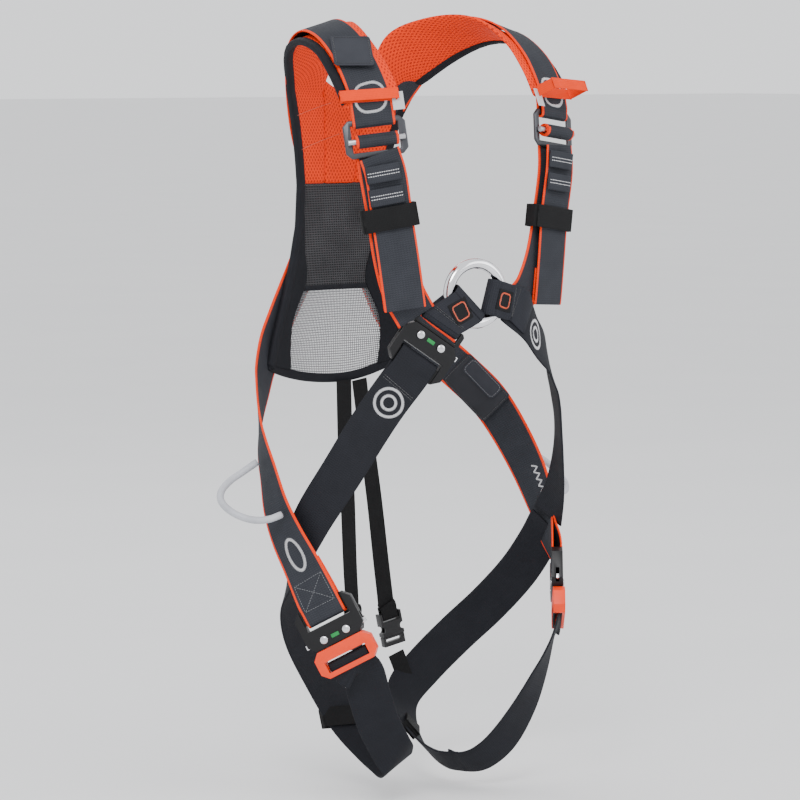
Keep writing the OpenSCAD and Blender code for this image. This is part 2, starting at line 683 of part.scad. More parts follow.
leg_lever(leg_buckle_left_at, 1);  // leg_lever_left_inner
leg_buckle_rivets();
leg_buckle_indicators();
back_elastic(elastic_right_route, socket_right_at);  // back_elastic_right
back_elastic(elastic_left_route, socket_left_at);  // back_elastic_left
side_release_socket(socket_right_at);  // side_release_socket_right
side_release_socket(socket_left_at);  // side_release_socket_left
side_release_plug(socket_right_at);  // side_release_plug_right
side_release_plug(socket_left_at);  // side_release_plug_left
plug_webbing();
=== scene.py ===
import math

import bmesh
import bpy
import numpy as np
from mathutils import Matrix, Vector


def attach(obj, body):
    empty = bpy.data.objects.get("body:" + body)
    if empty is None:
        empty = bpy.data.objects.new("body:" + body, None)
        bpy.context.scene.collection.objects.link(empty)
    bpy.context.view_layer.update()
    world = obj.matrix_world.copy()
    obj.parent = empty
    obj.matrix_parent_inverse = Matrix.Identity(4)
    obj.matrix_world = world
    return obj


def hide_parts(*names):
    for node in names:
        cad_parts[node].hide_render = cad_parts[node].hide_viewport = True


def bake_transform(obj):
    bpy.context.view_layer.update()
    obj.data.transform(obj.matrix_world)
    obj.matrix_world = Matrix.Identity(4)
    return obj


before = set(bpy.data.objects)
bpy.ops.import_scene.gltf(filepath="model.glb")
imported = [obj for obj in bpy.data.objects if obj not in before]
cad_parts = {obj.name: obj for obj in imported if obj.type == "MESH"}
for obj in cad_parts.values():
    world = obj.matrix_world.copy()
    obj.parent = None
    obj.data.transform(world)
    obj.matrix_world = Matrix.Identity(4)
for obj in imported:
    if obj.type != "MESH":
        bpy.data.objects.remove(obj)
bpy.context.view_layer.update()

# A full-body safety harness, hung as if worn. Lengths below are millimetres, in the frame's axes;
# they are turned into metres when a mesh is made.
MM = 0.001
WEB_W = 45.0
WEB_T = 2.2
EDGE_W = 2.6  # coloured selvedge
ELASTIC_W = 20.0
PAD_T = 7
RING_D = 12
GEAR_TUBE_D = 7.6
HOOK_MAIN = 4.5  # half the distance between a strap's layers at a buckle's bar
ADJUSTER_BAR_Z = 15.2  # heights of bars in their own places
BUCKLE_BAR_Z = 7.9
FLOOR_Z = -425
FLOOR_HALF = 6e4
ORANGE = (0.86, 0.042, 0.001)
GREY = (0.0274, 0.0295, 0.0360)
DARK = (0.0120, 0.0128, 0.0165)
BLACK = (0.0075, 0.0075, 0.008)
SIDES = ("right", "left")

# Places of the hardware: point, facing azimuth, facing elevation and roll, as in the part's source
STERNAL_RING = ((0, -110, 120), -12, 0, 0)
DORSAL_RING = ((0, 132, 205), 180, 0, 0)
CHEST_BUCKLE = ((-66, -101, 60), -25, 0, 35)
LEG_BUCKLE_RIGHT = ((-160, -64, -218), -50, 0, -28)
LEG_BUCKLE_LEFT = ((158, -64, -196), 50, 0, 28)
ADJUSTER_RIGHT = ((-125, -97, 285), -30, 8, -7)
ADJUSTER_LEFT = ((125, -92, 290), 12, 8, 7)
SOCKET_RIGHT = ((2, 98, -262), 187, 0, -3)
SOCKET_LEFT = ((57, 98, -262), 172, 0, 12)
RING_LOOP_RIGHT = ((-5.5, -108.8, 114.5), -12, 0, 225)
RING_LOOP_LEFT = ((11.5, -112.4, 117), -12, 0, 105)
KEEPER_RIGHT = ((-112, -103.5, 202), -30, 0, -10)
KEEPER_LEFT = ((113, -100, 196), 8, 0, 8)
LANYARD_RIGHT = ((-129, -90, 326), -30, 24, -4)
LANYARD_LEFT = ((127, -88, 328), 14, 24, 4)
LEG_KEEPER_RIGHT = ((-60, 36, -342), 165, -28, 0)
LEG_KEEPER_LEFT = ((40, 44, -364), 230, -40, 0)
POCKET = ((141, 49, 3), 127, 0, 45)
PATCH = ((-131, -66, 372), -30, 47, 0)
FLAP_MIDDLE = (10 - WEB_W / 2, 2)

# Routes: point, then the azimuth and elevation that the strap's outer side faces
MAIN_RIGHT = [
    (-125, -100, 306, -30, 12), (-129, -89, 335, -30, 28), (-131, -68, 368, -30, 45),
    (-129, -35, 393, -45, 66), (-122, 3, 400, -90, 73), (-108, 42, 384, -153, 56),
    (-82, 80, 338, -163, 33), (-45, 112, 275, -174, 12), (0, 125, 215, 0, 180), (30, 123, 170, 175, 0),
    (55, 119, 125, 168, 0), (75, 113, 85, 155, 0), (94, 99, 60, 145, 0), (114, 78, 38, 138, 0),
    (132, 58, 15, 130, 0), (150, 40, -10, 124, 0), (165, 22, -45, 115, 0), (175, 2, -85, 105, 0),
    (178, -16, -122, 90, 0), (174, -34, -150, 70, 0), (168, -48, -172, 55, 0)]
MAIN_LEFT = [
    (126, -95, 308, 12, 12), (127, -84, 338, 14, 28), (126, -62, 370, 18, 45), (118, -30, 396, 40, 66),
    (101, 6, 403, 90, 68), (82, 45, 387, 133, 52), (58, 84, 338, 142, 35), (34, 114, 275, 166, 12),
    (0, 128, 215, 0, 180), (-30, 123, 170, -175, 0), (-60, 117, 125, -170, 0), (-88, 110, 85, -165, 0),
    (-112, 100, 52, -162, 0), (-140, 76, 20, -155, 0), (-165, 48, -8, -135, 0), (-178, 28, -38, -118, 0),
    (-184, 8, -70, -105, 0), (-185, -6, -103, -92, 0), (-182, -20, -131, -80, 0),
    (-176, -36, -160, -68, 0), (-168, -50, -190, -56, 0)]
PAD_RIGHT = [
    (-124, -92, 322, -30, 20), (-127, -76, 350, -30, 38), (-127, -48, 378, -30, 58),
    (-123, -10, 392, -85, 72), (-112, 30, 383, -152, 60), (-92, 64, 358, -160, 42),
    (-68, 88, 330, -165, 30)]
PAD_LEFT = [
    (125, -88, 322, 14, 20), (125, -70, 352, 16, 38), (119, -42, 382, 30, 56), (105, -5, 396, 90, 66),
    (87, 34, 385, 132, 53), (66, 68, 357, 141, 37), (46, 88, 330, 156, 30)]
FRONT_RIGHT = [
    (-118, -97, 245, -30, 5), (-111, -100, 203, -30, 5), (-104, -102, 160, -30, 0),
    (-93, -103, 125, -28, 0), (-76, -104, 98, -25, 0)]
FRONT_LEFT = [
    (122, -94, 245, 8, 5), (114, -95, 200, 8, 5), (100, -98, 155, 10, 0), (82, -100, 122, 15, 0),
    (66, -100, 106, 20, 0)]
TAIL_RIGHT = [
    (-119, -107, 245, -30, 5), (-112, -108, 203, -30, 5), (-106, -111, 160, -30, 0),
    (-100, -114, 112, -30, 0)]
TAIL_LEFT = [
    (124, -104, 245, 8, 5), (118, -103, 200, 8, 5), (114, -103, 155, 8, 0), (111, -101, 108, 8, 0)]
CHEST_RIGHT = [
    (-104, -90, 10, -38, 0), (-124, -82, -20, -44, 0), (-146, -66, -64, -54, 0),
    (-162, -44, -106, -66, 0), (-168, -26, -138, -80, 0)]
CHEST_LEFT = [
    (68, -114, 90, 25, 0), (90, -105, 70, 42, 0), (118, -90, 50, 55, 0), (138, -76, 25, 64, 0),
    (150, -70, 0, 62, 0), (158, -66, -30, 58, 0), (164, -60, -65, 62, 0), (168, -50, -105, 75, 0),
    (170, -36, -135, 95, 0)]
LEG_RIGHT = [
    (-168, -26, -142, -85, 0), (-166, -6, -170, -120, 0), (-152, 18, -202, -150, 0),
    (-126, 38, -245, -160, -5), (-84, 48, -300, -175, -15), (-58, 34, -345, -195, -30),
    (-48, 0, -372, -235, -50), (-53, -40, -385, -300, -58)]
LEG_LEFT = [
    (172, -30, -142, 100, 0), (176, -12, -166, 118, 0), (174, 18, -202, 130, -5),
    (160, 51, -240, 140, -10), (135, 78, -275, 150, -15), (100, 91, -309, 165, -20),
    (62, 82, -334, 190, -30), (42, 54, -356, 220, -40), (37, 22, -380, 250, -50),
    (42, -6, -394, 285, -55), (54, -28, -396, 315, -52)]
LEG_FRONT_RIGHT = [
    (-54, -42, -385, -305, -57), (-62, -57, -377, -335, -40), (-76, -63, -362, -28, -18),
    (-100, -70, -330, -34, -8), (-118, -76, -295, -40, -4), (-132, -84, -272, -48, 0)]
LEG_FRONT_LEFT = [
    (55, -30, -396, 318, -52), (68, -45, -390, 335, -42), (87, -58, -370, 350, -30),
    (107, -70, -334, 10, -18), (124, -78, -294, 30, -8), (135, -86, -256, 46, 0)]
ELASTIC_RIGHT = [
    (2, 112, 14, 180, 0), (4, 112, -60, 180, 0), (5, 109, -120, 182, 0), (4, 104, -190, 185, 0),
    (3, 99, -236, 187, 0)]
ELASTIC_LEFT = [
    (24, 112, 14, 180, 0), (33, 111, -50, 180, 0), (42, 108, -120, 177, 0), (48, 104, -187, 174, 0),
    (51, 99, -236, 172, 0)]
PLUG_RIGHT = [
    (0, 92, -294, 190, 0), (-24, 74, -300, 185, -10), (-56, 58, -306, 180, -15)]
PLUG_LEFT = [
    (63, 96, -292, 172, 0), (68, 94, -306, 170, -8), (74, 92, -322, 168, -15)]
GEAR_ROUTE = [
    (-188, 22, -56), (-200, 30, -66), (-216, 34, -76), (-230, 30, -86), (-236, 20, -96), (-232, 4, -106),
    (-220, -10, -112), (-205, -18, -112), (-190, -21, -108)]

# Back panel: height, right edge, left edge and distance behind the torso axis
PANEL_ROWS = np.array([
    (13, -119, 91, 120), (60, -108, 84, 120), (90, -94, 74, 120), (118, -82, 66, 120), (150, -72, 60, 119),
    (185, -63, 56, 119), (230, -62, 58, 117), (265, -70, 62, 112), (300, -84, 68, 105), (335, -104, 80, 95)], float)
PANEL_CURVE = 0.002


# ---- Vectors, places and routes ----

def unit(v):
    v = np.asarray(v, float)
    return v / np.maximum(np.linalg.norm(v, axis=-1, keepdims=True), 1e-9)


def facing(azimuth, elevation):
    a, e = math.radians(azimuth), math.radians(elevation)
    return np.array([math.sin(a) * math.cos(e), -math.cos(a) * math.cos(e), math.sin(e)])


def turn(place):
    a, e, r = (math.radians(x) for x in (place[1], -place[2], place[3]))
    about_z = np.array([[math.cos(a), -math.sin(a), 0], [math.sin(a), math.cos(a), 0], [0, 0, 1]])
    about_x = np.array([[1, 0, 0], [0, math.cos(e), -math.sin(e)], [0, math.sin(e), math.cos(e)]])
    about_y = np.array([[math.cos(r), 0, math.sin(r)], [0, 1, 0], [-math.sin(r), 0, math.cos(r)]])
    return about_z @ about_x @ about_y


def turned(place, vectors):
    return np.asarray(vectors, float) @ turn(place).T


def placed(place, points):
    return np.asarray(place[0], float) + turned(place, points)


def flip(place):
    """The same place turned half round its own Y axis, as the leg buckles are."""
    return (place[0], place[1], place[2], place[3] + 180)


def rows_of(route):
    return np.array([np.concatenate([r[:3], facing(r[3], r[4])]) for r in route], float)


def local_rows(place, rows):
    """Rows given in a place's own axes as (x, y, z, nx, ny, nz)."""
    rows = np.asarray(rows, float)
    return np.hstack([placed(place, rows[:, :3]), turned(place, rows[:, 3:])])


def smooth(rows, n):
    """A Catmull-Rom curve through the rows with n steps between two of them."""
    rows = np.asarray(rows, float)
    ends = np.vstack([2 * rows[:1] - rows[1:2], rows, 2 * rows[-1:] - rows[-2:-1]])
    out = []
    for a, b, c, d in zip(ends, ends[1:], ends[2:], ends[3:]):
        for t in np.arange(n) / n:
            cubic = (2 * a - 5 * b + 4 * c - d) * t * t + (3 * b - a - 3 * c + d) * t ** 3
            out.append(0.5 * (2 * b + (c - a) * t + cubic))
    return np.array(out + [rows[-1]])


def hook(place, z, radius, reach, x=0.0):
    """A strap's turn round a bar along X at height z: up the back leg's reach, round, and up the front."""
    rows = [(x, radius, z + reach, 0, 1, 0), (x, radius, z + reach / 2, 0, 1, 0)]
    for angle in (0, 45, 90, 135, 180):
        c, s = math.cos(math.radians(angle)), math.sin(math.radians(angle))
        rows.append((x, radius * c, z - radius * s, 0, c, -s))
    rows += [(x, -radius, z + reach / 2, 0, -1, 0), (x, -radius, z + reach, 0, -1, 0)]
    return local_rows(place, rows)


class Strap:
    """A flat strap along smoothed rows, with places on its surface given as along, across and lift.

    A row is a point and the outer side's normal, and may end with the direction of the strap's width."""

    def __init__(self, rows, width=WEB_W, thick=WEB_T, n=8, closed=False):
        dense = smooth(rows, n)
        self.closed = closed
        if closed:
            dense = dense[:-1]
        self.centre = dense[:, :3]
        if closed:
            along = np.roll(self.centre, -1, 0) - np.roll(self.centre, 1, 0)
        else:
            along = np.gradient(self.centre, axis=0)
        self.along = unit(along)
        if dense.shape[1] == 9:
            self.side = unit(dense[:, 6:])
            self.out = unit(np.cross(self.side, self.along))
        else:
            self.side = unit(np.cross(self.along, dense[:, 3:6]))
            self.out = np.cross(self.side, self.along)
        self.width = width
        self.thick = thick
        steps = np.linalg.norm(np.diff(self.centre, axis=0), axis=1)
        self.length = np.concatenate([[0], np.cumsum(steps)])

    def at(self, s, u=0.0, lift=0.0):
        def pick(values):
            return np.array([np.interp(s, self.length, values[:, k]) for k in range(3)]).T
        return pick(self.centre) + pick(self.side) * u + pick(self.out) * (self.thick / 2 + lift)

    def near(self, point):
        return self.length[np.argmin(np.linalg.norm(self.centre - np.asarray(point, float), axis=1))]


# ---- Meshes ----

def piece(name, points, faces, material, uvs=None, flat=False):
    """An object from points in millimetres. uvs holds one pair, in centimetres, for each point."""
    mesh = bpy.data.meshes.new(name)
    mesh.from_pydata([tuple(p) for p in np.asarray(points, float) * MM], [],
                     [tuple(int(i) for i in f) for f in faces])
    mesh.update()
    if uvs is not None:
        layer = mesh.uv_layers.new(name="weave")
        pairs = np.asarray(uvs, float)
        index = np.empty(len(mesh.loops), int)
        mesh.loops.foreach_get("vertex_index", index)
        layer.data.foreach_set("uv", pairs[index].ravel())
    if not flat:
        mesh.shade_smooth()
    for m in material if isinstance(material, (list, tuple)) else [material]:
        mesh.materials.append(m)
    obj = bpy.data.objects.new(name, mesh)
    bpy.context.scene.collection.objects.link(obj)
    return obj


def loop_faces(count, around, closed=False):
    faces = []
    for i in range(count if closed else count - 1):
        j = (i + 1) % count
        for k in range(around):
            m = (k + 1) % around
            faces.append((around * i + k, around * i + m, around * j + m, around * j + k))
    if not closed:
        faces.append(tuple(range(around - 1, -1, -1)))
        faces.append(tuple(around * (count - 1) + k for k in range(around)))
    return faces


FLAT_PROFILE = [(-1, 0), (-0.985, 0.75), (-0.93, 1), (-0.5, 1), (0, 1), (0.5, 1), (0.93, 1), (0.985, 0.75),
                (1, 0), (0.985, -0.75), (0.93, -1), (0.5, -1), (0, -1), (-0.5, -1), (-0.93, -1), (-0.985, -0.75)]


def oval_profile(count, power=1.0, start=0.0):
    """Points round an oval; a power below 1 makes it squarer."""
    angles = [2 * math.pi * k / count + start for k in range(count)]
    return [(math.copysign(abs(math.cos(a)) ** power, math.cos(a)),
             math.copysign(abs(math.sin(a)) ** power, math.sin(a))) for a in angles]


ROUND_PROFILE = oval_profile(16, 0.6, 0.001)
CIRCLE_PROFILE = oval_profile(24)


def strap_piece(name, strap, material, profile=FLAT_PROFILE):
    points, uvs = [], []
    for c, side, out, s in zip(strap.centre, strap.side, strap.out, strap.length):
        for a, b in profile:
            points.append(c + side * a * strap.width / 2 + out * b * strap.thick / 2)
            uvs.append((a * strap.width / 20, s / 10))
    return piece(name, points, loop_faces(len(strap.centre), len(profile), strap.closed), material, uvs)


def tube_piece(name, points, diameter, material, sides=12):
    along = unit(np.gradient(points, axis=0))
    side = unit(np.cross(along, (0, 0, 1)))
    up = np.cross(side, along)
    out, uvs = [], []
    length = np.concatenate([[0], np.cumsum(np.linalg.norm(np.diff(points, axis=0), axis=1))])
    for p, a, b, s in zip(points, side, up, length):
        for k in range(sides):
            t = 2 * math.pi * k / sides
            out.append(p + diameter / 2 * (a * math.cos(t) + b * math.sin(t)))
            uvs.append((k / sides, s / 10))
    return piece(name, out, loop_faces(len(points), sides), material, uvs)


def stitch_points(a, b, normal, half):
    """One stitch: a little spindle from a to b that stands on a surface."""
    along = unit(b - a)
    side = np.cross(along, normal)
    rings = []
    for t, grow in ((0, 0.35), (0.25, 1), (0.75, 1), (1, 0.35)):
        centre = a + (b - a) * t
        rings += [centre + side * half * grow, centre + normal * half * grow, centre - side * half * grow,
                  centre - normal * half * 0.6 * grow]
    return rings


def stitches(name, strap, paths, material, satin=0.0, pitch=3.4, length=2.4, half=0.42, inner=False):
    """Stitches on a strap's outer side along paths of (along, across). A satin width sews across the path."""
    points, faces = [], []
    lift, away = (-strap.thick - 0.1, -1) if inner else (0.1, 1)
    for path in paths:
        path = np.asarray(path, float)
        run = np.concatenate([[0], np.cumsum(np.linalg.norm(np.diff(path, axis=0), axis=1))])
        for d in np.arange(pitch / 2, run[-1], pitch):
            here, ahead, behind = (np.array([np.interp(x, run, path[:, k]) for k in (0, 1)])
                                   for x in (d, min(d + 0.5, run[-1]), max(d - 0.5, 0)))
            direction = unit(ahead - behind)
            if satin:
                direction = np.array([-direction[1], direction[0]]) * 0.97 + direction * 0.24
            reach = direction * (satin or length) / 2
            a, b = (strap.at(here[0] + k * reach[0], here[1] + k * reach[1], lift) for k in (-1, 1))
            normal = unit(strap.at(here[0], here[1], 1) - strap.at(here[0], here[1], 0)) * away
            base = len(points)
            points += stitch_points(a, b, normal, half)
            faces += [tuple(base + i for i in f) for f in loop_faces(4, 4)]
    return piece(name, points, faces, material)


def ring_path(centre, radius, stretch=1.0):
    """A closed path round a centre (along, across)."""
    t = np.radians(np.linspace(0, 360, 44))
    return np.stack([centre[0] + radius * stretch * np.cos(t), centre[1] + radius * np.sin(t)], 1)


def box_cross(first, last, half):
    """A sewn box and both its diagonals."""
    a, b, c, d = (first, -half), (last, -half), (last, half), (first, half)
    return [[a, b, c, d, a], [a, c], [d, b]]


def double_seam(s, half):
    """Two rows of stitches across a strap."""
    return [[(s + step, -half), (s + step, half)] for step in (0, 2.5)]


def outline(width, height, radius, centre=(0, 0)):
    """A rounded rectangle in a place's XZ plane."""
    points = []
    for k, (sx, sz) in enumerate(((1, 1), (-1, 1), (-1, -1), (1, -1))):
        for i in range(7):
            t = math.radians(90 * k + 15 * i)
            points.append((centre[0] + sx * (width / 2 - radius) + radius * math.cos(t),
                           centre[1] + sz * (height / 2 - radius) + radius * math.sin(t)))
    return points


def plate_piece(name, place, points, thick, material, y, edge=0.8):
    """A plate with bevelled edges from an outline, standing in a place's XZ plane at y."""
    curve = bpy.data.curves.new(name + "_outline", "CURVE")
    curve.dimensions = "2D"
    curve.fill_mode = "BOTH"
    curve.extrude = (thick / 2 - edge) * MM
    curve.bevel_depth = edge * MM
    curve.bevel_resolution = 2
    curve.offset = -edge * MM
    spline = curve.splines.new("POLY")
    spline.points.add(len(points) - 1)
    spline.points.foreach_set("co", np.array([(x * MM, z * MM, 0, 1) for x, z in points]).ravel())
    spline.use_cyclic_u = True
    source = bpy.data.objects.new(name + "_outline", curve)
    bpy.context.scene.collection.objects.link(source)
    mesh = bpy.data.meshes.new_from_object(source.evaluated_get(bpy.context.evaluated_depsgraph_get()))
    flat = np.array([v.co for v in mesh.vertices])
    bpy.data.objects.remove(source)
    bpy.data.curves.remove(curve)
    local = np.stack([flat[:, 0] / MM, -flat[:, 2] / MM + y, flat[:, 1] / MM], 1)
    faces = [tuple(p.vertices) for p in mesh.polygons]
    bpy.data.meshes.remove(mesh)
    obj = piece(name, placed(place, local), faces, material, uvs=local[:, [0, 2]] / 10, flat=True)
    weld(obj)
    return obj


def modifier(obj, kind, **settings):
    m = obj.modifiers.new(kind.title(), kind)
    for key, value in settings.items():
        setattr(m, key, value)


def weld(obj):
    """Joins doubled points and shades by angle."""
    bm = bmesh.new()
    bm.from_mesh(obj.data)
    bmesh.ops.remove_doubles(bm, verts=bm.verts, dist=1e-6)
    bmesh.ops.recalc_face_normals(bm, faces=bm.faces)
    bm.to_mesh(obj.data)
    bm.free()
    obj.data.shade_smooth()
    obj.data.set_sharp_from_angle(angle=math.radians(35))


def bake_modifiers(obj):
    mesh = bpy.data.meshes.new_from_object(obj.evaluated_get(bpy.context.evaluated_depsgraph_get()))
    obj.modifiers.clear()
    old, obj.data = obj.data, mesh
    bpy.data.meshes.remove(old)
    return obj


# ---- Materials ----

class Shader:
    """A node material with one Principled shader; numbers and colours may be nodes' outputs."""

    def __init__(self, name, color, rough, **sockets):
        self.material = bpy.data.materials.new(name)
        self.material.use_nodes = True
        self.tree = self.material.node_tree
        self.tree.nodes.clear()
        self.shader = self.tree.nodes.new("ShaderNodeBsdfPrincipled")
        out = self.tree.nodes.new("ShaderNodeOutputMaterial")
        self.tree.links.new(self.shader.outputs[0], out.inputs[0])
        self.set("Base Color", (*color, 1))
        self.set("Roughness", rough)
        for key, value in sockets.items():
            self.set(key.replace("_", " ").title().replace("Ior", "IOR"), value)

    def set(self, socket, value):
        self.put(self.shader.inputs[socket], value)

    def put(self, socket, value):
        if isinstance(value, bpy.types.NodeSocket):
            self.tree.links.new(value, socket)
        else:
            socket.default_value = value

    def node(self, kind, output=0, inputs=(), **settings):
        n = self.tree.nodes.new("ShaderNode" + kind)
        for key, value in settings.items():
            setattr(n, key, value)
        for key, value in dict(inputs).items():
            self.put(n.inputs[key], value)
        return n.outputs[output]

    def math(self, operation, *values, clamp=False):
        return self.node("Math", operation=operation, inputs=enumerate(values), use_clamp=clamp)

    def mix(self, factor, a, b):
        n = self.tree.nodes.new("ShaderNodeMix")
        n.data_type = "RGBA"
        self.put(n.inputs[0], factor)
        for socket, value in ((n.inputs[6], a), (n.inputs[7], b)):
            self.put(socket, (*value, 1) if isinstance(value, tuple) and len(value) == 3 else value)
        return n.outputs[2]

    def weave(self):
        split = self.tree.nodes.new("ShaderNodeSeparateXYZ")
        self.put(split.inputs[0], self.node("UVMap", uv_map="weave"))
        return split.outputs[0], split.outputs[1]

    def noise(self, scale, detail=3.0):
        where = self.node("TexCoord", output=3)
        return self.node("TexNoise", inputs={"Vector": where, "Scale": scale, "Detail": detail})

    def wave(self, value, period):
        """A sine from 0 to 1 with that period."""
        sine = self.math("SINE", self.math("MULTIPLY", value, 2 * math.pi / period))
        return self.math("MULTIPLY_ADD", sine, 0.5, 0.5)

    def step(self, value, first, last):
        return self.node("MapRange", inputs={"Value": value, "From Min": first, "From Max": last})

    def bump(self, height, strength, depth):
        self.set("Normal", self.node("Bump", inputs={"Height": height, "Strength": strength, "Distance": depth * MM}))


def scaled(color, factor):
    return tuple(min(c * factor, 1) for c in color)


def webbing(name, color, edge=None, rib=0.23, column=0.30, spread=0.45):
    """Woven tape: ribs across it, columns along it, and coloured selvedges."""
    s = Shader(name, color, 0.85, specular_ior_level=0.15)
    across, along = s.weave()
    ribs = s.wave(s.math("ADD", along, s.math("MULTIPLY", s.math("PINGPONG", across, column / 2), 0.55)), rib)
    columns = s.wave(across, column)
    cloth = s.math("MULTIPLY_ADD", ribs, 0.7, s.math("MULTIPLY", columns, 0.3))
    soft = s.noise(60)
    tone = s.math("MULTIPLY_ADD", cloth, 0.55, s.math("MULTIPLY", soft, 0.45))
    shade = s.mix(tone, scaled(color, 1 - spread), scaled(color, 1 + spread))
    if edge:
        where = s.math("ABSOLUTE", across)
        border = (WEB_W / 2 - EDGE_W) / 10
        orange = s.mix(tone, scaled(edge, 0.75), scaled(edge, 1.12))
        shade = s.mix(s.step(where, border - 0.02, border + 0.02), shade, orange)
    s.set("Base Color", shade)
    s.set("Roughness", s.math("MULTIPLY_ADD", cloth, 0.2, 0.62))
    s.bump(s.math("ADD", cloth, s.math("MULTIPLY", soft, 0.4)), 0.55, 0.45)
    return s.material


def spacer_mesh(name, color, hole_shade_color, pitch=0.46):
    """Knitted mesh with staggered round holes; the holes take a darker orange that is painted shade inside them."""
    s = Shader(name, color, 0.8, specular_ior_level=0.15)
    across, along = s.weave()
    waves = [s.math("COSINE", s.math("MULTIPLY", v, 2 * math.pi / p))
             for v, p in ((across, pitch), (along, pitch * 1.5))]
    holes = s.step(s.math("MULTIPLY", *waves), 0.30, 0.52)
    knit = s.wave(s.math("ADD", across, along), 0.09)
    soft = s.noise(45)
    tone = s.math("MULTIPLY_ADD", knit, 0.4, s.math("MULTIPLY", soft, 0.6))
    # Painted shade: inside the holes the orange is darkened to stand in for the shade in their depth
    s.set("Base Color", s.mix(holes, s.mix(tone, scaled(color, 0.8), scaled(color, 1.15)), hole_shade_color))
    s.set("Roughness", s.math("MULTIPLY_ADD", tone, 0.2, 0.65))
    s.bump(s.math("SUBTRACT", s.math("MULTIPLY", tone, 0.35), holes), 0.6, 0.6)
    return s.material


def net(name, color, light, pitch=0.26):
    """A fine net over a backing: a grid of light threads."""
    s = Shader(name, color, 0.85, specular_ior_level=0.15)
    across, along = s.weave()
    grid = s.math("MAXIMUM", s.wave(across, pitch), s.wave(along, pitch))
    soft = s.noise(30)
    threads = s.math("MULTIPLY", s.step(grid, 0.45, 0.95), s.math("MULTIPLY_ADD", soft, 0.9, 0.25), clamp=True)
    s.set("Base Color", s.mix(threads, color, light))
    s.set("Roughness", s.math("MULTIPLY_ADD", threads, -0.15, 0.85))
    s.bump(threads, 0.5, 0.4)
    return s.material


def metal(name, color, rough, scratch, metallic=1.0, coat=0.0):
    s = Shader(name, color, rough, metallic=metallic, coat_weight=coat, coat_roughness=0.25)
    grain = s.noise(900, 2)
    broad = s.noise(40)
    s.set("Base Color", s.mix(broad, scaled(color, 0.85), scaled(color, 1.1)))
    s.set("Roughness", s.math("MULTIPLY_ADD", grain, scratch, s.math("MULTIPLY_ADD", broad, scratch, rough - scratch)))
    s.bump(grain, 0.25, 0.04)
    return s.material


def plastic(name, color, rough, grain_scale=1400, worn=1.35):
    s = Shader(name, color, rough, coat_roughness=0.3, specular_ior_level=0.35)
    grain = s.noise(grain_scale, 2)
    broad = s.noise(70)
    s.set("Base Color", s.mix(broad, scaled(color, 0.85), scaled(color, worn)))
    s.set("Roughness", s.math("MULTIPLY_ADD", grain, 0.18, rough - 0.09))
    s.bump(grain, 0.4, 0.06)
    return s.material


def thread(name, color):
    s = Shader(name, color, 0.7, sheen_weight=0.3)
    twist = s.noise(1500, 1)
    s.set("Base Color", s.mix(twist, scaled(color, 0.75), scaled(color, 1.1)))
    s.bump(twist, 0.5, 0.1)
    return s.material


M = {
    "grey": webbing("grey_webbing", GREY, edge=ORANGE),
    "dark": webbing("dark_webbing", DARK),
    "loop": webbing("loop_webbing", scaled(DARK, 1.5)),
    "band": webbing("band_webbing", GREY, rib=0.2),
    "elastic": webbing("black_elastic", BLACK, rib=0.16, column=0.22, spread=0.6),
    "tape": webbing("binding_tape", scaled(DARK, 0.9), rib=0.15, column=0.2, spread=0.5),
    "orange_tape": webbing("orange_tape", ORANGE, rib=0.14, column=0.2, spread=0.25),
    "tag": webbing("pale_tag", (0.55, 0.56, 0.57), rib=0.1, column=0.1, spread=0.15),
    # The third colour is painted shade inside the spacer mesh's holes
    "spacer": spacer_mesh("orange_spacer_mesh", ORANGE, (0.42, 0.02, 0.004)),
    "net": net("dark_net", (0.010, 0.010, 0.011), (0.075, 0.075, 0.08)),
    "net_thread": thread("net_thread", (0.20, 0.20, 0.21)),
    "shell": webbing("outer_fabric", scaled(DARK, 0.8), rib=0.12, column=0.14),
    "white_thread": thread("white_thread", (0.62, 0.62, 0.64)),
    "dark_thread": thread("dark_thread", (0.012, 0.012, 0.015)),
    "pale_thread": thread("pale_thread", (0.16, 0.165, 0.18)),
    "label": webbing("label_cloth", (0.010, 0.010, 0.011), rib=0.08, column=0.08, spread=0.3),
    "orange_thread": thread("orange_thread", (0.75, 0.10, 0.03)),
    "polished": metal("polished_metal", (0.83, 0.83, 0.85), 0.13, 0.05),
    "steel": metal("plated_steel", (0.68, 0.68, 0.70), 0.24, 0.08),
    "coated": metal("coated_frame", (0.075, 0.077, 0.085), 0.38, 0.1, metallic=0.85),
    "satin": metal("satin_bar", (0.5, 0.5, 0.52), 0.35, 0.1),
    "black_metal": metal("black_buckle", (0.008, 0.008, 0.009), 0.42, 0.12, metallic=0.5, coat=0.03),
    "cover": plastic("orange_cover", ORANGE, 0.42, worn=1.1),
    "black_plastic": plastic("black_plastic", (0.012, 0.012, 0.013), 0.4),
    "green": plastic("green_indicator", (0.008, 0.20, 0.045), 0.3),
    "tube": plastic("gear_tube", (0.40, 0.41, 0.44), 0.42, grain_scale=600),
    "patch": webbing("patch_cloth", (0.035, 0.037, 0.045), rib=0.12, column=0.12, spread=0.3),
    "felt": webbing("pocket_felt", (0.030, 0.031, 0.036), rib=0.1, column=0.1, spread=0.5),
}


# ---- Yoke ----

def panel_point(z, u):
    """A point of the back panel's middle surface at height z, u from its right edge to its left edge."""
    rows = PANEL_ROWS
    right, left, back = (np.interp(z, rows[:, 0], rows[:, k]) for k in (1, 2, 3))
    x = right + (left - right) * u
    rise = x * x * (0.0015 if x < 0 else 0.0035)
    low = max(0.0, 1 - (z - 13) / 47)
    return np.array([x, back - PANEL_CURVE * x * x, z + rise * low])


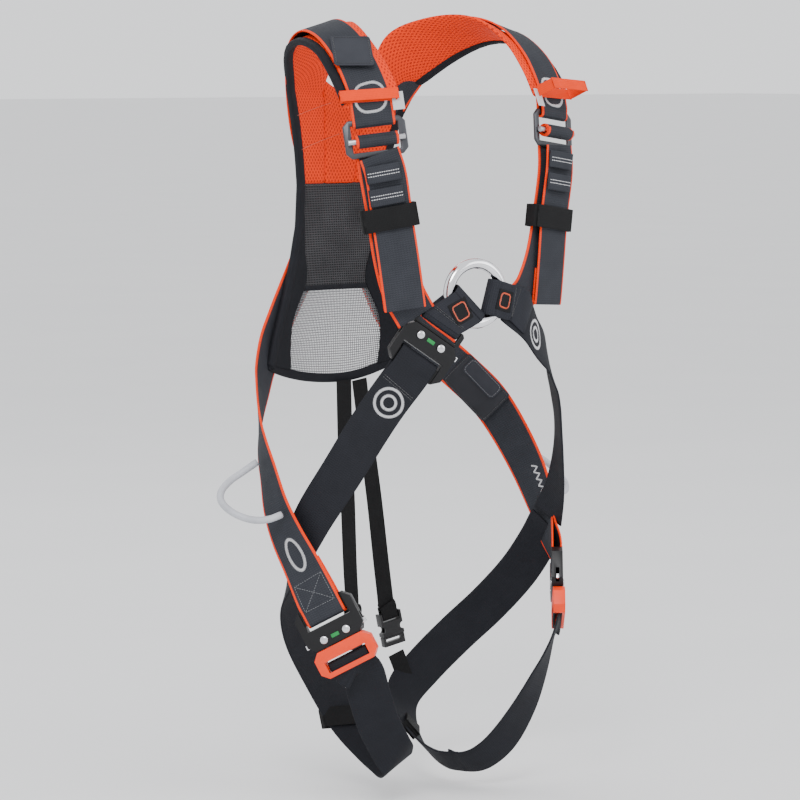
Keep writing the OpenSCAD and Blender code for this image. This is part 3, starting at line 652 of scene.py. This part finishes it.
def grid_piece(name, grid, materials, thick, weight=None):
    """A closed sheet of the given thickness round a grid of points (rows by columns)."""
    rows, columns = grid.shape[:2]
    points = grid.reshape(-1, 3)
    faces = [(i * columns + k, i * columns + k + 1, (i + 1) * columns + k + 1, (i + 1) * columns + k)
             for i in range(rows - 1) for k in range(columns - 1)]
    mid = columns // 2
    along = np.concatenate([[0], np.cumsum(np.linalg.norm(np.diff(grid[:, mid], axis=0), axis=1))])
    steps = np.linalg.norm(np.diff(grid, axis=1), axis=2)
    across = np.concatenate([np.zeros((rows, 1)), np.cumsum(steps, 1)], 1)
    across -= across[:, mid:mid + 1]
    uvs = np.stack([across / 10, np.repeat(along[:, None], columns, 1) / 10], 2).reshape(-1, 2)
    obj = piece(name, points, faces, materials, uvs)
    group = obj.vertex_groups.new(name="thickness")
    values = np.ones(len(points)) if weight is None else weight.reshape(-1)
    for i, value in enumerate(values):
        group.add([i], float(value), "REPLACE")
    modifier(obj, "SOLIDIFY", thickness=thick * MM, offset=0, vertex_group="thickness", use_even_offset=False)
    modifier(obj, "SUBSURF", levels=1, render_levels=1)
    return bake_modifiers(obj)


def paint_back(obj, low, high):
    """Faces that look backwards between two heights take the second material."""
    for face in obj.data.polygons:
        z = face.center.z / MM
        if face.normal.y > 0.25 and low < z < high:
            face.material_index = 1


def pad_rows(route, u0, u1, columns=9):
    """Control rows of one side of the yoke: up the back panel, then over the shoulder."""
    rows = [[panel_point(z, u) for u in np.linspace(u0, u1, columns)] for z in (230, 250, 275, 300, 322, 335)]
    centre = np.array([r[:3] for r in route], float)
    along = unit(np.gradient(centre, axis=0))
    for c, a, r, neck, arm in zip(centre, along, route, (52, 46, 38, 33, 31, 30), (22, 27, 30, 31, 31, 31)):
        side = unit(np.cross(a, facing(r[3], r[4])))
        if side[0] < 0:
            side = -side
        low, high = (-arm, neck) if u0 == 0 else (-neck, arm)
        rows.append([c + side * w for w in np.linspace(low, high, columns)])
    return np.array(rows)


right_pad = smooth(pad_rows(PAD_RIGHT[-2::-1], 0.0, 0.33).reshape(12, -1), 5).reshape(-1, 9, 3)
left_pad = smooth(pad_rows(PAD_LEFT[-2::-1], 0.67, 1.0).reshape(12, -1), 5).reshape(-1, 9, 3)
middle = np.array([[panel_point(230 + (114 - 12 * math.cos(math.pi * (u - 0.5) / 0.34)) * i / 25, u)
                    for u in np.linspace(0.32, 0.68, 9)] for i in range(26)])
yoke = []
for name, grid, inner in (("yoke_pad_right", right_pad, 1), ("yoke_pad_left", left_pad, -1)):
    # Thin at the sewn edge of the back, then crowned over the shoulder
    weight = np.tile(np.clip(0.45 + 1.1 * np.linspace(0, 1, 9)[::inner], 0, 1), (len(grid), 1))
    weight[len(grid) // 2:] = 0.42 + 0.58 * (1 - np.abs(np.linspace(-1, 1, 9)) ** 3)
    weight[0] = 0.5
    pad = grid_piece(name, grid, [M["spacer"], M["shell"]], PAD_T, weight)
    paint_back(pad, 200, 330)
    yoke.append(pad)
pad = grid_piece("yoke_pad_middle", middle, [M["spacer"], M["shell"]], PAD_T)
paint_back(pad, 200, 345)
yoke.append(pad)
rows = np.linspace(116, 232, 18)
mid_grid = np.array([[panel_point(z, u) for u in np.linspace(0, 1, 15)] for z in rows])
pad = grid_piece("yoke_mid_panel", mid_grid, [M["net"], M["shell"]], 4)
paint_back(pad, 100, 240)
yoke.append(pad)
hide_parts("back_pad_upper", "shoulder_pad_right")
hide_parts("shoulder_pad_left")
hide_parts("back_panel_mid")


def net_panel():
    """Crossing threads with real gaps between them, over the small of the back."""
    points, faces = [], []

    def strand(line):
        line = np.asarray(line)
        along = unit(np.gradient(line, axis=0))
        side = unit(np.cross(along, (0, 1, 0)))
        base = len(points)
        for p, s, t in zip(line, side, along):
            out = np.cross(s, t)
            points.extend([p + s * 0.55, p + out * 0.3, p - s * 0.55, p - out * 0.3])
        faces.extend(tuple(base + i for i in f) for f in loop_faces(len(line), 4))

    for u in np.linspace(0.01, 0.99, 74):
        strand([panel_point(z, u) + (0, 0.2, 0) for z in np.linspace(15, 118, 22)])
    for z in np.linspace(16, 117, 38):
        strand([panel_point(z, u) - (0, 0.2, 0) for u in np.linspace(0.005, 0.995, 36)])
    return piece("yoke_net_panel", points, faces, M["net_thread"])


net_obj = net_panel()
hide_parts("back_mesh_panel")


def surface_rows(points, lift):
    """Rows along the yoke's inner or outer face through (z, u) pairs."""
    line = np.array([panel_point(z, u) for z, u in points])
    normal = unit(np.stack([2 * PANEL_CURVE * line[:, 0], np.ones(len(line)), np.zeros(len(line))], 1))
    return np.hstack([line - normal * lift, -normal])


def binding(name, line, inward, width=10, thick=7.5):
    """Tape folded round an edge line; inward points from the edge into the panel."""
    line = np.asarray(line, float)
    along = unit(np.gradient(line, axis=0))
    normal = unit(np.cross(along, inward))
    return strap_piece(name, Strap(np.hstack([line, normal]), width, thick, n=2), M["tape"], ROUND_PROFILE)


def side_line(pad, column, u):
    """The yoke's arm-side edge from the hem to the pad's front end, and the direction into the panel."""
    heights = np.arange(16, 228, 12)
    lower = np.array([panel_point(z, u) for z in heights])
    inner = np.array([panel_point(z, 0.5) for z in heights])
    upper, upper_inner = pad[::3, column], pad[::3, 4]
    line = np.vstack([lower, upper])
    return line, unit(np.vstack([inner - lower, upper_inner - upper]))


trim = []
for side, pad, column, u in (("right", right_pad, 0, 0.0), ("left", left_pad, 8, 1.0)):
    line, inward = side_line(pad, column, u)
    trim.append(binding("yoke_binding_" + side, line + inward * 3, inward))
hem = np.array([panel_point(14, u) for u in np.linspace(0, 1, 14)])
trim.append(binding("yoke_hem", hem + (0, 0, 3), np.tile((0, 0, 1.0), (14, 1)), 10, 4.5))
seam = np.array([panel_point(117, u) for u in np.linspace(0.02, 0.98, 12)])
trim.append(binding("yoke_mid_seam", seam, np.tile((0, 0, 1.0), (12, 1)), 6, 5.5))
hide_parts("yoke_binding")
for name, z0, z1, u1 in (("yoke_seam_upper", 305, 318, 0.36), ("yoke_seam_lower", 268, 284, 0.45)):
    lines = Strap(surface_rows([(z0 + (z1 - z0) * t, u1 * t + 0.02) for t in np.linspace(0, 1, 6)], 3.6), 1, 0.2)
    trim.append(stitches(name, lines, [[(0, 0), (lines.length[-1], 0)]], M["orange_thread"], pitch=2.6, length=2.3))
top_seam = Strap(surface_rows([(229, u) for u in np.linspace(0.03, 0.97, 10)], 3.4), 1, 0.2)
trim.append(stitches("yoke_seam_mid", top_seam, [[(0, 0), (top_seam.length[-1], 0)]], M["dark_thread"], pitch=2.6))


def gusset(name, edge, inner):
    """Solid fabric sewn along the side of the back panel, on its inner face."""
    widths = ((22, 0.20), (50, 0.17), (85, 0.14), (116, 0.20), (135, 0.20), (160, 0.13), (190, 0.08), (215, 0.04))
    grid = np.array([[panel_point(z, edge + inner * width * t) - (0, 2.9, 0) for t in np.linspace(0.03, 1, 5)]
                     for z, width in widths])
    grid = smooth(grid.reshape(8, -1), 3).reshape(-1, 5, 3)
    obj = grid_piece(name, grid, [M["shell"]], 1.2)
    return obj


trim.append(gusset("yoke_gusset_right", 0, 1))
trim.append(gusset("yoke_gusset_left", 1, -1))
for obj in yoke + trim + [net_obj]:
    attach(obj, "root")


# ---- Webbing ----

def backs(row, gap=2.5):
    """The row for the layer behind a strap's row, facing the other way."""
    row = np.asarray(row, float)
    return np.concatenate([row[:3] - row[3:] * gap, -row[3:]])


def main_strap(route, adjuster, buckle):
    """Webbing from behind an adjuster's bar, along its route, to behind a leg buckle's bar."""
    body = rows_of(route)[1:-1]
    top = hook(adjuster, ADJUSTER_BAR_Z, 3.3, 12)
    low = hook(buckle, BUCKLE_BAR_Z, HOOK_MAIN, 22)[::-1]
    rows = np.vstack([backs(body[0])[None], top, body, low, backs(body[-1])[None]])
    return Strap(rows, n=6)


def own(obj, body, *nodes):
    """Puts a piece on its body, in place of the CAD nodes named; given a tuple (body, body, start, end), it reads none
    of it and only applies the piece's transform, leaving it without a parent.
    """
    if isinstance(body, str):
        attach(obj, body)
    else:
        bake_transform(obj)
    if nodes:
        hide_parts(*nodes)


def add(name, strap, material, body, *nodes, profile=FLAT_PROFILE):
    own(strap_piece(name, strap, M[material], profile), body, *nodes)


def sew(name, strap, paths, color="white_thread", body="root", **settings):
    own(stitches(name, strap, paths, M[color], **settings), body)


main_right = main_strap(MAIN_RIGHT, ADJUSTER_RIGHT, LEG_BUCKLE_LEFT)
main_left = main_strap(MAIN_LEFT, ADJUSTER_LEFT, LEG_BUCKLE_RIGHT)
add("webbing_main_right", main_right, "grey", "root", "main_webbing_right")
add("webbing_main_left", main_left, "grey", "root", "main_webbing_left")

for side, front, tail, place in (("right", FRONT_RIGHT, TAIL_RIGHT, ADJUSTER_RIGHT),
                                 ("left", FRONT_LEFT, TAIL_LEFT, ADJUSTER_LEFT)):
    start = local_rows(place, [(0, 3.6, -15, 0, -1, 0)])
    add("webbing_front_" + side, Strap(np.vstack([start, rows_of(front)])), "grey", "root",
        "front_webbing_" + side)
    start = local_rows(place, [(0, -8, -18, 0, -1, 0)])
    end = rows_of(tail)
    down = unit(end[-1, :3] - end[-2, :3])
    fold = np.concatenate([end[-1, :3] + down * 2.4 - end[-1, 3:] * 1.6, down])
    tip = np.concatenate([end[-1, :3] - end[-1, 3:] * 3.2, -end[-1, 3:]])
    under = np.concatenate([end[-1, :3] - down * 34 - end[-1, 3:] * 3.0, -end[-1, 3:]])
    tail_strap = Strap(np.vstack([start, end, fold[None], tip[None], under[None]]), WEB_W - 1, 1.9)
    add("webbing_tail_" + side, tail_strap, "grey", "root", "front_webbing_" + side)

# Strap rolled on each adjuster's bar
for side, place in (("right", ADJUSTER_RIGHT), ("left", ADJUSTER_LEFT)):
    spiral = []
    for t in np.linspace(0, 2.15, 40):
        a, r = 2 * math.pi * t - 0.6, 3.9 + 3.3 * t / 2.15
        spiral.append((0, -4.8 - r * math.cos(a), -3 + r * math.sin(a), 0, -math.cos(a), math.sin(a)))
    roll = Strap(local_rows(place, spiral), WEB_W, 1.4, n=1)
    add("strap_roll_coil_" + side, roll, "grey", "adjuster_bar_" + side, "strap_roll_" + side)


def band(place, half_x, half_y, corner, width, thick, y=0.0):
    """A closed band round a place's Z axis."""
    rows = []
    for k, (sx, sy) in enumerate(((1, 1), (-1, 1), (-1, -1), (1, -1))):
        for i in range(4):
            t = math.radians(90 * k + 90 * i / 3)
            c, s = math.cos(t), math.sin(t)
            rows.append((sx * (half_x - corner) + corner * c, y + sy * (half_y - corner) + corner * s, 0, c, s, 0))
    rows.append(rows[0])
    return Strap(local_rows(place, rows), width, thick, n=3, closed=True)


for side, place in (("right", KEEPER_RIGHT), ("left", KEEPER_LEFT)):
    add("keeper_band_" + side, band(place, 29.3, 7.9, 5, 24, 1.6), "elastic", "elastic_keeper_" + side,
        "elastic_keeper_" + side)
for side, place in (("right", LEG_KEEPER_RIGHT), ("left", LEG_KEEPER_LEFT)):
    add("leg_keeper_band_" + side, band(place, 25.6, 4.2, 3, 22, 1.4), "elastic", "root", "leg_keepers")
for side, place, bulge in (("right", LANYARD_RIGHT, 4), ("left", LANYARD_LEFT, 22)):
    loop = band(place, 29, (bulge + 1.2) / 2, min(2.4, (bulge + 1) / 2), 12, 1.0, -2.9 - bulge / 2)
    add("lanyard_band_" + side, loop, "orange_tape", "root", "lanyard_keepers")
    sign = 1 if side == "right" else -1
    rows = [(sign * (24 + 3 * k), -2.4 - 0.25 * k, -7, 0, -1, 0) for k in range(5)]
    add("lanyard_tag_" + side, Strap(local_rows(place, rows), 20, 0.8, n=3), "tag", "root")
for side, place, spots in (("right", KEEPER_RIGHT, ((-9, 23), (-11.5, 47))),
                           ("left", KEEPER_LEFT, ((-11, 38), (-10.5, 62)))):
    for i, (y, z) in enumerate(spots):
        rows = [(-18 + 6 * k, y + (1.6 if k in (0, 6) else 0), z, 0, -1, 0) for k in range(7)]
        ridge = Strap(local_rows(place, rows), 18, 2.6, n=3)
        add("tail_elastic_%s_%d" % (side, i + 1), ridge, "band", "root", "tail_elastics")
        end = ridge.length[-1]
        sew("tail_elastic_seam_%s_%d" % (side, i + 1), ridge,
            [[(1.5, u), (end - 1.5, u)] for u in (-1.6, 1.6)], pitch=2.4, length=1.9, half=0.5)

# Straps between two bodies: the bodies, and the points where the blend starts and ends
CHEST_BLEND = ("root", "chest_buckle", CHEST_RIGHT[2][:3], placed(CHEST_BUCKLE, [0, 0, -26]))
RING_BLEND = {
    "right": ("root", "sternal_ring", placed(CHEST_BUCKLE, [0, 0, 38]), placed(RING_LOOP_RIGHT, [0, 0, 15])),
    "left": ("root", "sternal_ring", placed(RING_LOOP_LEFT, [0, 0, 42]), placed(RING_LOOP_LEFT, [0, 0, 15]))}

# Chest: loops round the ring, then the straps to the hips
start = hook(RING_LOOP_RIGHT, 9.2, 8.1, 3)
tongue = hook(CHEST_BUCKLE, 36.2, 4.3, 3)[::-1]
across = [turned(RING_LOOP_RIGHT, [[1, 0, 0]])] * len(start) + [turned(CHEST_BUCKLE, [[-1, 0, 0]])] * len(tongue)
loop_rows = np.hstack([np.vstack([start, tongue]), np.vstack(across)])
ring_right = Strap(np.vstack([loop_rows, loop_rows[:1]]), WEB_W, WEB_T, n=6, closed=True)
add("ring_loop_right", ring_right, "loop", RING_BLEND["right"], "sternal_loop_right")
left_route = rows_of(CHEST_LEFT)
start = hook(RING_LOOP_LEFT, 9.2, 8.1, 5)
ends = local_rows(RING_LOOP_LEFT, [(0, 2.6, 28, 0, 1, 0), (0, 2.4, 40, 0, 1, 0)])[::-1]
front_end = local_rows(RING_LOOP_LEFT, [(0, -2.6, 28, 0, -1, 0), (0, -2.4, 40, 0, -1, 0)])
lift = left_route[0].copy()
lift[:3] += lift[3:] * 2.3
ring_left = Strap(np.vstack([ends, start, front_end, lift]), 38, WEB_T, n=6)
add("ring_loop_left", ring_left, "loop", RING_BLEND["left"], "sternal_loop_left")
first = local_rows(RING_LOOP_LEFT, [(0, 0, 34, 0, -1, 0)])
chest_left = Strap(np.vstack([first, left_route]))
add("chest_webbing_left", chest_left, "dark", "root", "chest_strap_left")
right_route = rows_of(CHEST_RIGHT)
bar = hook(flip(CHEST_BUCKLE), BUCKLE_BAR_Z, HOOK_MAIN, 20)
chest_right = Strap(np.vstack([backs(right_route[0])[None], bar, right_route]))
add("chest_webbing_right", chest_right, "dark", CHEST_BLEND, "chest_strap_right")

# Thighs
for side, loop, front, place in (("right", LEG_RIGHT, LEG_FRONT_RIGHT, LEG_BUCKLE_RIGHT),
                                 ("left", LEG_LEFT, LEG_FRONT_LEFT, LEG_BUCKLE_LEFT)):
    add("leg_webbing_" + side, Strap(rows_of(loop)), "dark", "root", "leg_loop_" + side)
    rows = rows_of(front)
    low = hook(flip(place), 42, 3.4, 12)[::-1]
    tuck = rows_of(loop)[-2:]
    under = tuck[1] * 0.55 + tuck[0] * 0.45
    under[:3] -= unit(under[3:]) * 2.4
    blend = ("root", "leg_tongue_" + side, rows[0, :3], placed(place, [0, 0, -52]))
    add("leg_webbing_front_" + side, Strap(np.vstack([under[None], rows, low])), "dark", blend, "leg_front_" + side)

# Elastics down the back and the webbing below them
for side, route, place, plug in (("right", ELASTIC_RIGHT, SOCKET_RIGHT, PLUG_RIGHT),
                                 ("left", ELASTIC_LEFT, SOCKET_LEFT, PLUG_LEFT)):
    rows = rows_of(route)
    low = hook(place, 12.6, 3.3, 12)[::-1]
    strap = Strap(np.vstack([rows, low, backs(rows[-1], 2.2)[None]]), ELASTIC_W, 2.0)
    blend = ("root", "socket_" + side, rows[0, :3], placed(place, [0, 0, 30]))
    add("elastic_webbing_" + side, strap, "elastic", blend, "back_elastic_" + side)
    end = strap.near(rows[-1, :3])
    sew("elastic_box_stitch_" + side, strap, box_cross(end - 30, end - 12, 6), "dark_thread", blend,
        pitch=2.2, length=1.8)
    add("plug_strap_" + side, Strap(rows_of(plug), ELASTIC_W, 2.0), "elastic", "root", "plug_webbing")

# Gear loops
gear = smooth(GEAR_ROUTE, 6)
for side, sign in (("right", 1), ("left", -1)):
    own(tube_piece("gear_tube_" + side, gear * (sign, 1, 1), GEAR_TUBE_D, M["tube"]), "root", "gear_loop_" + side)

# Patch, pocket and flap
own(plate_piece("shoulder_patch", PATCH, outline(42, 44, 4), 1.6, M["patch"], -2.3), "root", "name_patch")
own(plate_piece("pocket_felt_panel", POCKET, outline(43, 66, 4), 2.4, M["felt"], 4), "root", "label_pocket")
own(plate_piece("pocket_flap_panel", POCKET, outline(20, 48, 5, FLAP_MIDDLE), 1.2, M["patch"], 6.2, 0.5),
    "label_flap", "label_flap")


# ---- Stitching ----

def ring_stitch(name, strap, s, u, body="root"):
    """Two plain satin-stitched rings, one inside the other."""
    rings = [ring_path((s, u), radius) for radius in (7.5, 15)]
    sew(name, strap, rings, body=body, satin=3.4, pitch=0.85, half=0.4)


# Each loop round the ring: a dark label with a plain rounded outline, and the seam that closes the loop
for side, strap, place, size, away, half in (("right", ring_right, RING_LOOP_RIGHT, 24, 15, 19),
                                             ("left", ring_left, RING_LOOP_LEFT, 22, 14, 16)):
    s = strap.near(placed(place, [0, -8, size]))
    rows = [np.concatenate([strap.at(s + t, 0, 0.45), strap.at(s + t, 0, 1) - strap.at(s + t)])
            for t in np.linspace(-size / 2, size / 2, 6)]
    cloth = Strap(rows, size, 0.7, n=2)
    add("ring_label_" + side, cloth, "label", RING_BLEND[side])
    points = [(size / 2 + a, b) for a, b in outline(size - 7.2, size - 7.2, 3.5)]
    sew("ring_label_%s_outline" % side, cloth, [points + points[:1]], "orange_thread", RING_BLEND[side],
        satin=1.8, pitch=0.8, half=0.35)
    sew("ring_loop_seam_" + side, strap, double_seam(s + away, half), "dark_thread", RING_BLEND[side], pitch=2.6)

# Rings of satin stitches on the chest straps
s = chest_right.near((-106, -93, 10))
ring_stitch("chest_ring_stitch_right", chest_right, s, -2, CHEST_BLEND)
sew("chest_seam_right", chest_right, double_seam(s - 20, 19), "dark_thread", CHEST_BLEND, pitch=2.6)
ring_stitch("chest_ring_stitch_left", chest_left, chest_left.near((88, -106, 72)), 0)

# Long rings and sewn boxes on the hip webbing above each thigh buckle, and a bartack on the left side
for side, strap, place, spot in (("right", main_left, LEG_BUCKLE_RIGHT, (-178, -30, -152)),
                                 ("left", main_right, LEG_BUCKLE_LEFT, (176, -26, -138))):
    s = strap.near(spot)
    sew("hip_ring_stitch_" + side, strap, [ring_path((s, 0), 8.5, 2.1)], satin=3.8, pitch=0.9, half=0.4)
    s = strap.near(placed(place, [0, 0, 36]))
    sew("hip_box_stitch_" + side, strap, box_cross(s - 15, s + 15, 17), "pale_thread",
        pitch=2.8, length=2.1, half=0.3)
s = main_right.near((174, 4, -82))
zigzag = [(s + 4 * k, 9 + (3.5 if k % 2 else -3.5)) for k in range(10)]
sew("hip_bartack_left", main_right, [zigzag], satin=2.0, pitch=0.7, half=0.4, inner=True)

# Rounded outlines on the shoulder webbing under the lanyard bands
for side, strap, place in (("right", main_right, LANYARD_RIGHT), ("left", main_left, LANYARD_LEFT)):
    s = strap.near(np.asarray(place[0], float))
    points = [(s + b, a) for a, b in outline(32, 30, 12)]
    sew("shoulder_ring_stitch_" + side, strap, [points + points[:1]], satin=3.4, pitch=0.9, half=0.4)


def border(name, place, width, height, radius, centre, y, face, color, body):
    """Stitches round a rounded rectangle on a patch, pocket or flap."""
    rows = [(centre[0], y, centre[1] - height / 2, 0, face, 0), (centre[0], y, centre[1] + height / 2, 0, face, 0)]
    cloth = Strap(local_rows(place, rows), width, 0.1)
    points = [(height / 2 + b, a) for a, b in outline(width, height, radius)]
    sew(name, cloth, [points + points[:1]], color, body, pitch=2.7, length=2.0, half=0.35)


border("patch_border", PATCH, 37, 39, 3, (0, 0), -3.1, -1, "dark_thread", "root")
border("flap_border", POCKET, 16, 44, 4, FLAP_MIDDLE, 6.8, 1, "pale_thread", "label_flap")
border("pocket_border", POCKET, 39, 62, 3, (0, 0), 5.2, 1, "dark_thread", "root")


# ---- Hard parts ----

def ring_piece(name, place, path, diameter, material, body, *nodes):
    rows = [(x, y, z, 0, -1, 0) for x, y, z in path]
    strap = Strap(local_rows(place, rows + rows[:1]), diameter, diameter, n=1, closed=True)
    add(name, strap, material, body, *nodes, profile=CIRCLE_PROFILE)


turns = np.radians(np.linspace(0, 360, 120, endpoint=False))
ring_piece("sternal_ring_round", STERNAL_RING, [(31.5 * math.cos(t), 0, 31.5 * math.sin(t)) for t in turns], RING_D,
           "polished", "sternal_ring", "sternal_ring")
path = [(28 * math.cos(t), -9, 4 + 28 * math.sin(t)) for t in np.radians(np.linspace(180, 360, 60))]
path += [(x, -9, 4) for x in np.linspace(27, -27, 28)]
ring_piece("dorsal_ring_d", DORSAL_RING, path, RING_D, "polished", "dorsal_ring", "dorsal_ring")
rows = [(0, 1, 11.4, 0, 0, 1), (0, -4, 11.4, 0, 0, 1)]
rows += [(0, -9 - 7.4 * math.sin(t), 4 + 7.4 * math.cos(t), 0, -math.sin(t), math.cos(t))
         for t in np.radians((0, 45, 90, 135, 180))]
rows += [(0, -4, -3.4, 0, 0, -1), (0, 1, -3.4, 0, 0, -1)]
add("dorsal_wrap_strap", Strap(local_rows(DORSAL_RING, rows), 40, WEB_T, n=5), "loop", "root", "main_webbing_left")


def bevelled(node, material, body, width):
    """A CAD piece's own shape with its edges rounded."""
    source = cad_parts[node]
    obj = bpy.data.objects.new(node + "_shell", source.data.copy())
    obj.matrix_world = source.matrix_world
    obj.data.materials.clear()
    obj.data.materials.append(M[material])
    bpy.context.scene.collection.objects.link(obj)
    bm = bmesh.new()
    bm.from_mesh(obj.data)
    bmesh.ops.remove_doubles(bm, verts=bm.verts, dist=1e-5)
    bmesh.ops.dissolve_limit(bm, angle_limit=math.radians(2), verts=bm.verts, edges=bm.edges)
    bm.to_mesh(obj.data)
    bm.free()
    modifier(obj, "BEVEL", width=width * MM, segments=3, limit_method="ANGLE", angle_limit=math.radians(25),
             harden_normals=False, use_clamp_overlap=True)
    bake_modifiers(obj)
    obj.data.shade_smooth()
    obj.data.set_sharp_from_angle(angle=math.radians(30))
    own(obj, body, node)


shells = [("dorsal_plate", "black_plastic", "root", 1.2)]
shells += [("adjuster_frame_" + side, "coated", "root", 1.2) for side in SIDES]
shells += [("adjuster_bar_" + side, "satin", "adjuster_bar_" + side, 0.4) for side in SIDES]
shells += [("chest_buckle_body", "black_metal", "chest_buckle", 1.1),
           ("chest_buckle_tongue", "black_metal", "root", 0.8)]
shells += [("leg_buckle_body_" + side, "black_metal", "root", 1.1) for side in SIDES]
shells += [("leg_buckle_tongue_" + side, "cover", "leg_tongue_" + side, 1.3) for side in SIDES]
shells += [(lever, "steel", lever, 0.7) for lever in (
    "chest_lever_outer", "chest_lever_inner", "leg_lever_right_outer", "leg_lever_right_inner",
    "leg_lever_left_outer", "leg_lever_left_inner")]
shells += [("chest_buckle_rivets", "steel", "chest_buckle", 0.4), ("leg_buckle_rivets", "steel", "root", 0.4),
           ("chest_buckle_indicator", "green", "chest_buckle", 0.4), ("leg_buckle_indicators", "green", "root", 0.4)]
shells += [("side_release_socket_" + side, "black_plastic", "socket_" + side, 0.7) for side in SIDES]
shells += [("side_release_plug_" + side, "black_plastic", "root", 0.7) for side in SIDES]
for shell in shells:
    bevelled(*shell)


def dome(name, place, x, z, y, radius, body):
    """A rivet's domed head on a buckle's outer face."""
    points, around, rings = [], 24, 5
    for i in range(rings + 1):
        t = math.radians(90 * i / rings)
        for k in range(around):
            a = 2 * math.pi * k / around
            r = radius * math.cos(t) + 0.001
            points.append((x + r * math.cos(a), y - 1.6 * math.sin(t), z + r * math.sin(a)))
    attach(piece(name, placed(place, points), loop_faces(rings + 1, around), M["steel"]), body)


for name, place, body in (("chest", CHEST_BUCKLE, "chest_buckle"), ("leg_right", flip(LEG_BUCKLE_RIGHT), "root"),
                          ("leg_left", flip(LEG_BUCKLE_LEFT), "root")):
    for i, x in enumerate((-13.2, 13.2)):
        dome("rivet_head_%s_%d" % (name, i + 1), place, x, 14.4, -6.8, 4.4, body)


# ---- Camera, light and floor ----

data = bpy.data.cameras.new("camera")
data.lens = 175.8
data.sensor_width = 36
data.shift_x = -0.01
data.clip_end = 100
camera = bpy.data.objects.new("camera", data)
bpy.context.scene.collection.objects.link(camera)
azimuth, elevation, distance = math.radians(-40), math.radians(5), 4.2
camera.location = (distance * math.sin(azimuth) * math.cos(elevation),
                   -distance * math.cos(azimuth) * math.cos(elevation), distance * math.sin(elevation))
camera.rotation_euler = (math.pi / 2 - elevation, 0, azimuth)
bpy.context.scene.camera = camera

world = bpy.data.worlds.new("world")
world.use_nodes = True
world.node_tree.nodes["Background"].inputs[0].default_value = (0.97, 0.98, 1.0, 1)
world.node_tree.nodes["Background"].inputs[1].default_value = 1.35
bpy.context.scene.world = world
for name, where, size, power in (("key", (-2.2, -2.0, 2.2), 1.4, 75), ("fill", (1.4, -2.8, 1.2), 2.0, 30),
                                 ("rim", (0.6, 2.6, 2.4), 1.6, 18)):
    light = bpy.data.lights.new(name, "AREA")
    light.energy = power
    light.size = size
    lamp = bpy.data.objects.new(name, light)
    lamp.location = where
    lamp.rotation_euler = Vector(where).to_track_quat("Z", "Y").to_euler()
    bpy.context.scene.collection.objects.link(lamp)

floor_shader = Shader("floor", (0.80, 0.80, 0.80), 0.9)
floor_shader.set("Base Color", floor_shader.mix(floor_shader.noise(3), (0.78, 0.78, 0.79), (0.82, 0.82, 0.82)))
corners = [(x * FLOOR_HALF, y * FLOOR_HALF, FLOOR_Z) for x, y in ((-1, -1), (1, -1), (1, 1), (-1, 1))]
floor = piece("floor", corners, [(0, 1, 2, 3)], floor_shader.material, flat=True)
